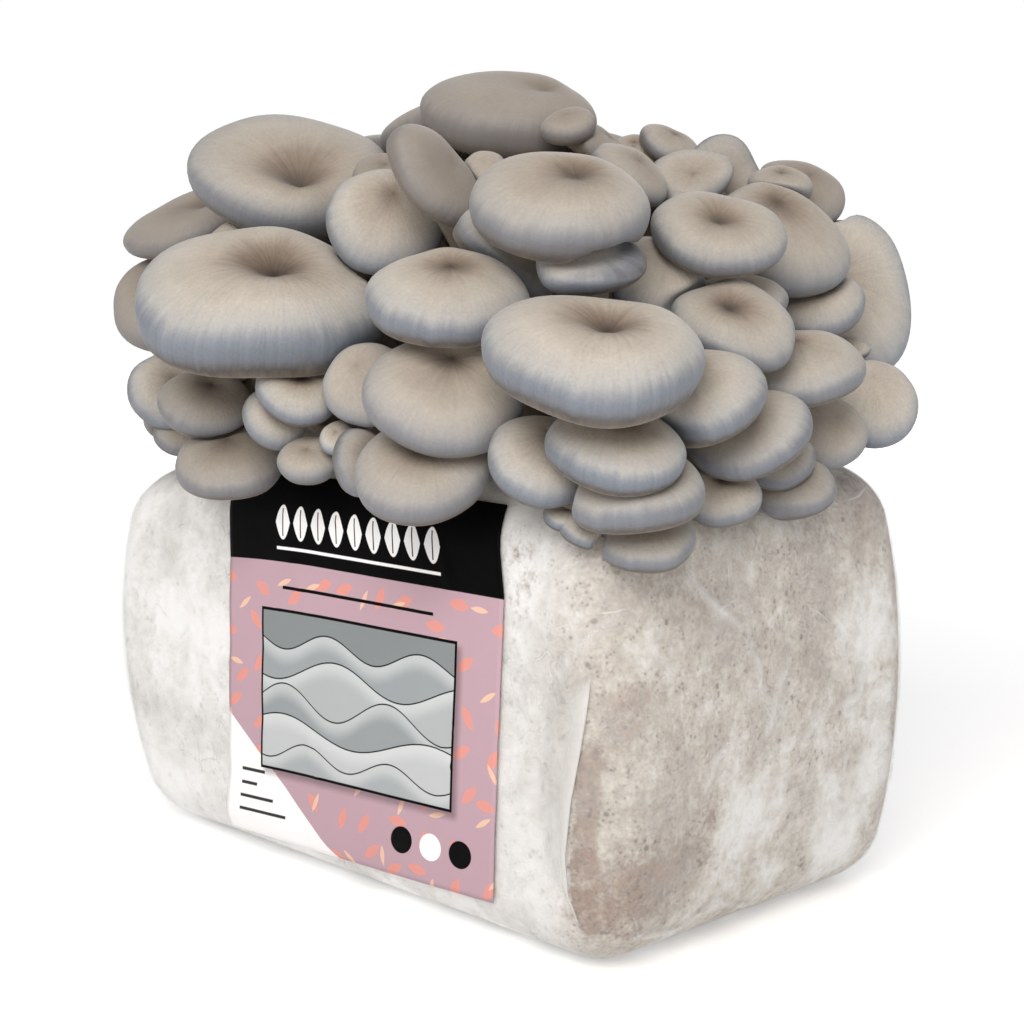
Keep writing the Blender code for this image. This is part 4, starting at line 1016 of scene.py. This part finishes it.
# Painted shade: both colours are darker than the real pale gill flesh.
shade = add("Mix", add("TexNoise", place, 1000 / 6, 3, 0.55), "c4b9a9", "a39685")
give(shader["Base Color"], shade)
rough = add("TexNoise", place, 1000 / 1.5, 3, 0.55)
give(shader["Normal"], add("Bump", Height=rough, Distance=0.0002, Strength=0.5))

GILL_SPACING = 0.0017
GILL_DEPTH = 0.050
GILL_PROFILE = np.array((0.0, 0.45, 0.9, 1.0, 0.55))
LEAST_GILL = 0.0002
GILL_START = 0.815
GILL_ENDS = (0.925, 0.985)
GILL_SIZES = {"Blade Thickness": 0.22, "Blade Edge": 0.10, "Flesh": gill_flesh}
BLADE_TOP = -0.15
tree = gill_tree = bpy.data.node_groups.new("gills", "GeometryNodeTree")
for name, way, kind in (("Geometry", "INPUT", "Geometry"), ("Blade Thickness", "INPUT", "Float"),
                        ("Blade Edge", "INPUT", "Float"), ("Flesh", "INPUT", "Material"),
                        ("Geometry", "OUTPUT", "Geometry")):
    tree.interface.new_socket(name, in_out=way, socket_type=f"NodeSocket{kind}")
given = add("GroupInput").node.outputs
is_gill = add("InputNamedAttribute", "gill", data_type="BOOLEAN")
parted = add("SeparateGeometry", given["Geometry"], is_gill, domain="POINT").node.outputs
down = add("InputNamedAttribute", "gill_down", data_type="FLOAT_VECTOR")
line = add("MeshToCurve", parted["Selection"])
line = add("SetCurveNormal", line, Normal=down, mode="FREE")
deep = add("InputNamedAttribute", "gill_depth", data_type="FLOAT")
corners = {"Point 1": (BLADE_TOP, -0.5, "Blade Thickness"), "Point 2": (1.0, -0.5, "Blade Edge"),
           "Point 3": (1.0, 0.5, "Blade Edge"), "Point 4": (BLADE_TOP, 0.5, "Blade Thickness")}
for name, (out, share, socket) in corners.items():
    corners[name] = add("CombineXYZ", out, add("Math", given[socket], share, **TIMES))
blade = add("CurvePrimitiveQuadrilateral", mode="POINTS", **corners)
swept = add("CurveToMesh", line, blade, deep, True)
fleshed = add("SetMaterial", swept, Material=given["Flesh"])
joined = add("JoinGeometry", parted["Inverted"])
give(joined.node.inputs[0], fleshed)
add("GroupOutput", add("RealizeInstances", joined))


# A cap is painted darker and browner, as painted shade, where it stands between these heights or so
# far out on the left. Where its hollow is shallower than this its middle is painted less dark,
# above all where it faces the eye.
PAINTED_SHADE_HEIGHTS = (0.185, 0.220)
PAINTED_SHADE_LEFT = (0.075, 0.105)
DEEP_PIT = 0.40
FACING_EYE = (40, 50)


def near(one, other, margin):
    return np.linalg.norm(other.centre - one.centre) < other.size + margin


def ends_joined(field):
    """A field's values as the cap's vertices hold them, with one for each end of the rings."""
    body = field[1:-1].reshape(-1, *field.shape[2:])
    return np.concatenate((field[:1, 0], body, field[-1:, 0]))


def cap_piece(name, mushroom, tests, rings, segments):
    """A cap with its gills as one object."""
    step = np.linspace(0, 1, rings + 1)[:, None] * np.ones(segments)
    angle = np.linspace(0, 2 * pi, segments, endpoint=False) * np.ones((rings + 1, 1))
    points = mushroom.skin(step, angle)
    reach = press(points.reshape(-1, 3), mushroom.anchor, tests).reshape(step.shape)
    reach[0] = reach[0].mean()
    reach[-1] = reach[-1].mean()
    reach = soften(reach)
    points = mushroom.anchor + reach[..., None] * (points - mushroom.anchor)
    share, _ = mushroom.section(step)

    ring = np.arange(1, 1 + (rings - 1) * segments).reshape(rings - 1, segments)
    after = np.roll(ring, -1, axis=1)
    last = ring[-1, -1] + 1
    quads = np.stack((ring[:-1], ring[1:], after[1:], after[:-1]), axis=-1).reshape(-1, 4)
    faces = quads.tolist()
    faces += [(0, a, b) for a, b in zip(ring[0], after[0])]
    faces += [(last, b, a) for a, b in zip(ring[-1], after[-1])]
    verts = ends_joined(points)

    count = int(2 * pi * mushroom.half_width / GILL_SPACING)
    lines, edges, depths = [], [], []
    for number in range(count):
        at = np.linspace(GILL_START, GILL_ENDS[number % 2], len(GILL_PROFILE)) * rings
        low = at.astype(int)
        column = number * segments / count
        left = int(column)
        right = (left + 1) % segments
        mix, side = (at - low)[:, None], column - left
        def between(field):
            return ((field[low, left] * (1 - mix) + field[low + 1, left] * mix) * (1 - side)
                    + (field[low, right] * (1 - mix) + field[low + 1, right] * mix) * side)
        first = len(verts) + len(lines)
        lines.extend(between(points))
        free = np.clip((between(reach[..., None])[:, 0] - 0.80) / 0.18, 0.12, 1.0)
        depth = GILL_PROFILE * mushroom.row.width * GILL_DEPTH
        depths.extend(np.maximum(depth * free, LEAST_GILL))
        edges += [(at_point, at_point + 1) for at_point in range(first, first + len(low) - 1)]

    mesh = bpy.data.meshes.new(name)
    mesh.from_pydata(np.concatenate((verts, lines)), edges, faces)
    mesh.shade_smooth()
    extra = len(lines)
    # Painted shade for caps high up or far left, plus a random tone for each cap.
    high_up = smooth_step(mushroom.centre[2], *PAINTED_SHADE_HEIGHTS)
    far_left = smooth_step(-mushroom.centre[0], *PAINTED_SHADE_LEFT)
    tone_and_painted_shade = 0.4 * max(high_up, far_left) + 0.6 * ((mushroom.number * 0.099) % 1.0)
    plain = 0.22 * (1 - min(mushroom.row.pit / DEEP_PIT, 1.0))
    plain = plain + 0.10 * smooth_step(mushroom.row.face, *FACING_EYE)
    painted = ends_joined(step + plain * (1 - smooth_step(step, 0.0, 0.45)))
    around = ends_joined(np.stack((np.cos(angle), np.sin(angle), share), axis=-1))
    around = around * mushroom.half_width / 0.025 + mushroom.number * 3.1
    fields = {"gill": np.r_[np.zeros(len(verts), bool), np.ones(extra, bool)],
              "gill_down": np.tile(-mushroom.z_axis, (len(verts) + extra, 1)),
              "gill_depth": np.r_[np.zeros(len(verts)), depths],
              "tone_and_painted_shade": np.full(len(verts) + extra, tone_and_painted_shade),
              "skin_step": np.r_[painted, np.ones(extra)],
              "skin_round": np.r_[around, np.zeros((extra, 3))]}
    for key, data in fields.items():
        kind = "BOOLEAN" if data.dtype == bool else ("FLOAT", "FLOAT_VECTOR")[data.ndim - 1]
        layer = mesh.attributes.new(key, kind, "POINT")
        layer.data.foreach_set("vector" if data.ndim > 1 else "value", data.ravel())
    mesh.materials.append(cap_skin)
    new = put(name, mesh)
    gills = new.modifiers.new("gills", "NODES")
    gills.node_group = gill_tree
    for item in gill_tree.interface.items_tree:
        if item.in_out == "INPUT" and item.name in GILL_SIZES:
            gills[item.identifier] = GILL_SIZES[item.name]
    finish_off(new)
    new.data.name = name
    return new


def finish_off(thing):
    """Turn an object and its modifiers into a plain mesh."""
    evaluated = thing.evaluated_get(bpy.context.evaluated_depsgraph_get())
    finished = bpy.data.meshes.new_from_object(evaluated)
    thing.modifiers.clear()
    thing.data = finished


# The larger caps are cut finer.
WIDE_CAP = 0.042
CAP_CELLS = {True: (42, 84), False: (34, 60)}
STEM_MARGIN = 0.012
for number, cap in enumerate(caps):
    tests = [other.holds for other in caps[:number] if near(cap, other, cap.size)]
    tests += [other.stem_holds for other in caps + buttons if other is not cap
              and np.linalg.norm(other.stem - cap.centre, axis=1).min() < cap.size + STEM_MARGIN]
    tests.append(bag_holds)
    new = cap_piece(f"cap_{number + 1:02d}_skin", cap, tests, *CAP_CELLS[cap.row.width > WIDE_CAP])
    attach(new, "root")
    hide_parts(f"cap_{number + 1:02d}")

# The stems are firm white flesh, painted darker tan to stand in for the shade between the caps, and
# near-black deep in the crowd as painted shade. Each runs from under its cap down into the bunch
# that it grew from, and the bunches have grown together at the foot, where they break out of the
# block. The smallest caps stay in one piece with their bunch.
STEM_VOXEL = 0.0014
BUTTON_CELLS = (26, 44)
stem_flesh, tree, shader = new_look(
    "stem_flesh", Roughness=0.6, IOR=1.4, Subsurface_Weight=0.15,
    Subsurface_Radius=(0.004, 0.003, 0.002), Subsurface_Scale=1.0)
place = add("TexCoord", out="Object")
fibres = add("Mapping", place, Scale=(1000 / 2.2, 1000 / 2.2, 1000 / 2.2 * 0.12))
fibres = add("TexNoise", fibres, 1.0, 4, 0.6)
# These flesh colours are darker than the real white, as painted shade between the caps.
shade = add("Mix", fibres, "bdb1a1", "8b7d6d")
stain = add("MapRange", add("TexNoise", place, 1000 / 14, 4, 0.55), 0.45, 0.70, 0.0, 0.6)
shade = add("Mix", stain, shade, "7d6e5e")
# Painted shade: the stems are darkened to near-black deep inside the crowd.
painted_crowd_shade = add("Mapping", place, Location=(0.0, 0.0, -1.1), Scale=(8.6, 12.5, 8.3))
painted_crowd_shade = add("VectorMath", painted_crowd_shade, operation="LENGTH")
painted_crowd_shade = add("MapRange", painted_crowd_shade, 0.55, 1.15, 0.9, 0.0)
give(shader["Base Color"], add("Mix", painted_crowd_shade, shade, "33281f"))
give(shader["Normal"], add("Bump", Height=fibres, Distance=0.0004, Strength=0.7))

for name, bunch_x in BUNCHES.items():
    curve = bpy.data.curves.new(name, "CURVE")
    curve.dimensions = "3D"
    curve.bevel_depth = 1.0
    curve.bevel_resolution = 4
    curve.use_fill_caps = True
    for mushroom in caps + buttons:
        if mushroom.bunch == name:
            spline = curve.splines.new("POLY")
            spline.points.add(STEM_POINTS - 1)
            for point, spot, radius in zip(spline.points, mushroom.stem, mushroom.stem_radius):
                point.co = (*spot, 1.0)
                point.radius = radius
    lines = put(name, curve)
    evaluated = lines.evaluated_get(bpy.context.evaluated_depsgraph_get())
    bm = bmesh.new()
    bm.from_mesh(evaluated.to_mesh())
    bpy.data.objects.remove(lines)
    foot = bmesh.ops.create_icosphere(bm, subdivisions=4, radius=1.0)["verts"]
    bmesh.ops.scale(bm, vec=BASE_SIZE, verts=foot)
    bmesh.ops.translate(bm, vec=(bunch_x, 0, bag_high[2]), verts=foot)
    bmesh.ops.remove_doubles(bm, verts=bm.verts, dist=0.00001)
    stems = piece(bm, f"{name}_grown", stem_flesh)
    remesh = stems.modifiers.new("grow_together", "REMESH")
    remesh.voxel_size = STEM_VOXEL
    remesh.use_smooth_shade = True
    smooth = stems.modifiers.new("soften", "SMOOTH")
    smooth.factor = 0.5
    smooth.iterations = 5
    finish_off(stems)
    parts = [stems]
    for number, button in enumerate(buttons):
        if button.bunch == name:
            tests = [other.holds for other in caps if near(button, other, button.size)]
            tests.append(bag_holds)
            parts.append(cap_piece(f"button_{number}", button, tests, *BUTTON_CELLS))
    with bpy.context.temp_override(active_object=stems, object=stems, selected_objects=parts,
                                   selected_editable_objects=parts):
        bpy.ops.object.join()
    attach(stems, "root")
    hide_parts(name)


FLOOR_HALF = 40.0
FLOOR_GLOW = (0.25, 1.3, 0.26, 0.66)
ROOM_LIGHT = 0.40
LAMPS = (("key", (0.62, -0.83, 0.80), 0.7, 12.5, "fffcf8"),
         ("back", (-0.6, 0.9, 0.9), 0.9, 4.0, "fbfaff"),
         ("top", (0.0, 0.1, 1.3), 0.8, 0.8, "fffaf4"))
floor_look, tree, shader = new_look("pale_floor", Roughness=0.8, IOR=1.45, Base_Color="f4f4f4",
                                    Specular_IOR_Level=0.1, Emission_Color="ffffff")
away = add("VectorMath", add("TexCoord", out="Object"), operation="LENGTH")
give(shader["Emission Strength"], add("MapRange", away, *FLOOR_GLOW))
bm = bmesh.new()
bmesh.ops.create_grid(bm, x_segments=1, y_segments=1, size=FLOOR_HALF)
floor = piece(bm, "floor", floor_look)
floor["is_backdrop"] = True

for name, spot, width, watts, tint in LAMPS:
    lamp = bpy.data.lights.new(name, "AREA")
    lamp.size = width
    lamp.energy = watts
    lamp.color = linear(tint)[:3]
    back = (np.array(spot) - eye_aim) / np.linalg.norm(np.array(spot) - eye_aim)
    side = np.cross((0.0, 0.0, 1.0), back)
    side = side / np.linalg.norm(side)
    stand(put(name, lamp), spot, side, np.cross(back, side), back)

world = bpy.data.worlds.new("room")
world.use_nodes = True
tree = world.node_tree
strength = add("LightPath", out="Is Camera Ray")
strength = add("MapRange", strength, 0.0, 1.0, ROOM_LIGHT, 1.0)
background = tree.nodes["Background"].inputs
give(background["Color"], "ffffff")
give(background["Strength"], strength)
bpy.context.scene.world = world
bpy.context.scene.view_settings.view_transform = "Standard"

boxes = {"cad": cad_bounds, "scene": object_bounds()}
{key: [list(map(float, corner)) for corner in box] for key, box in boxes.items()}
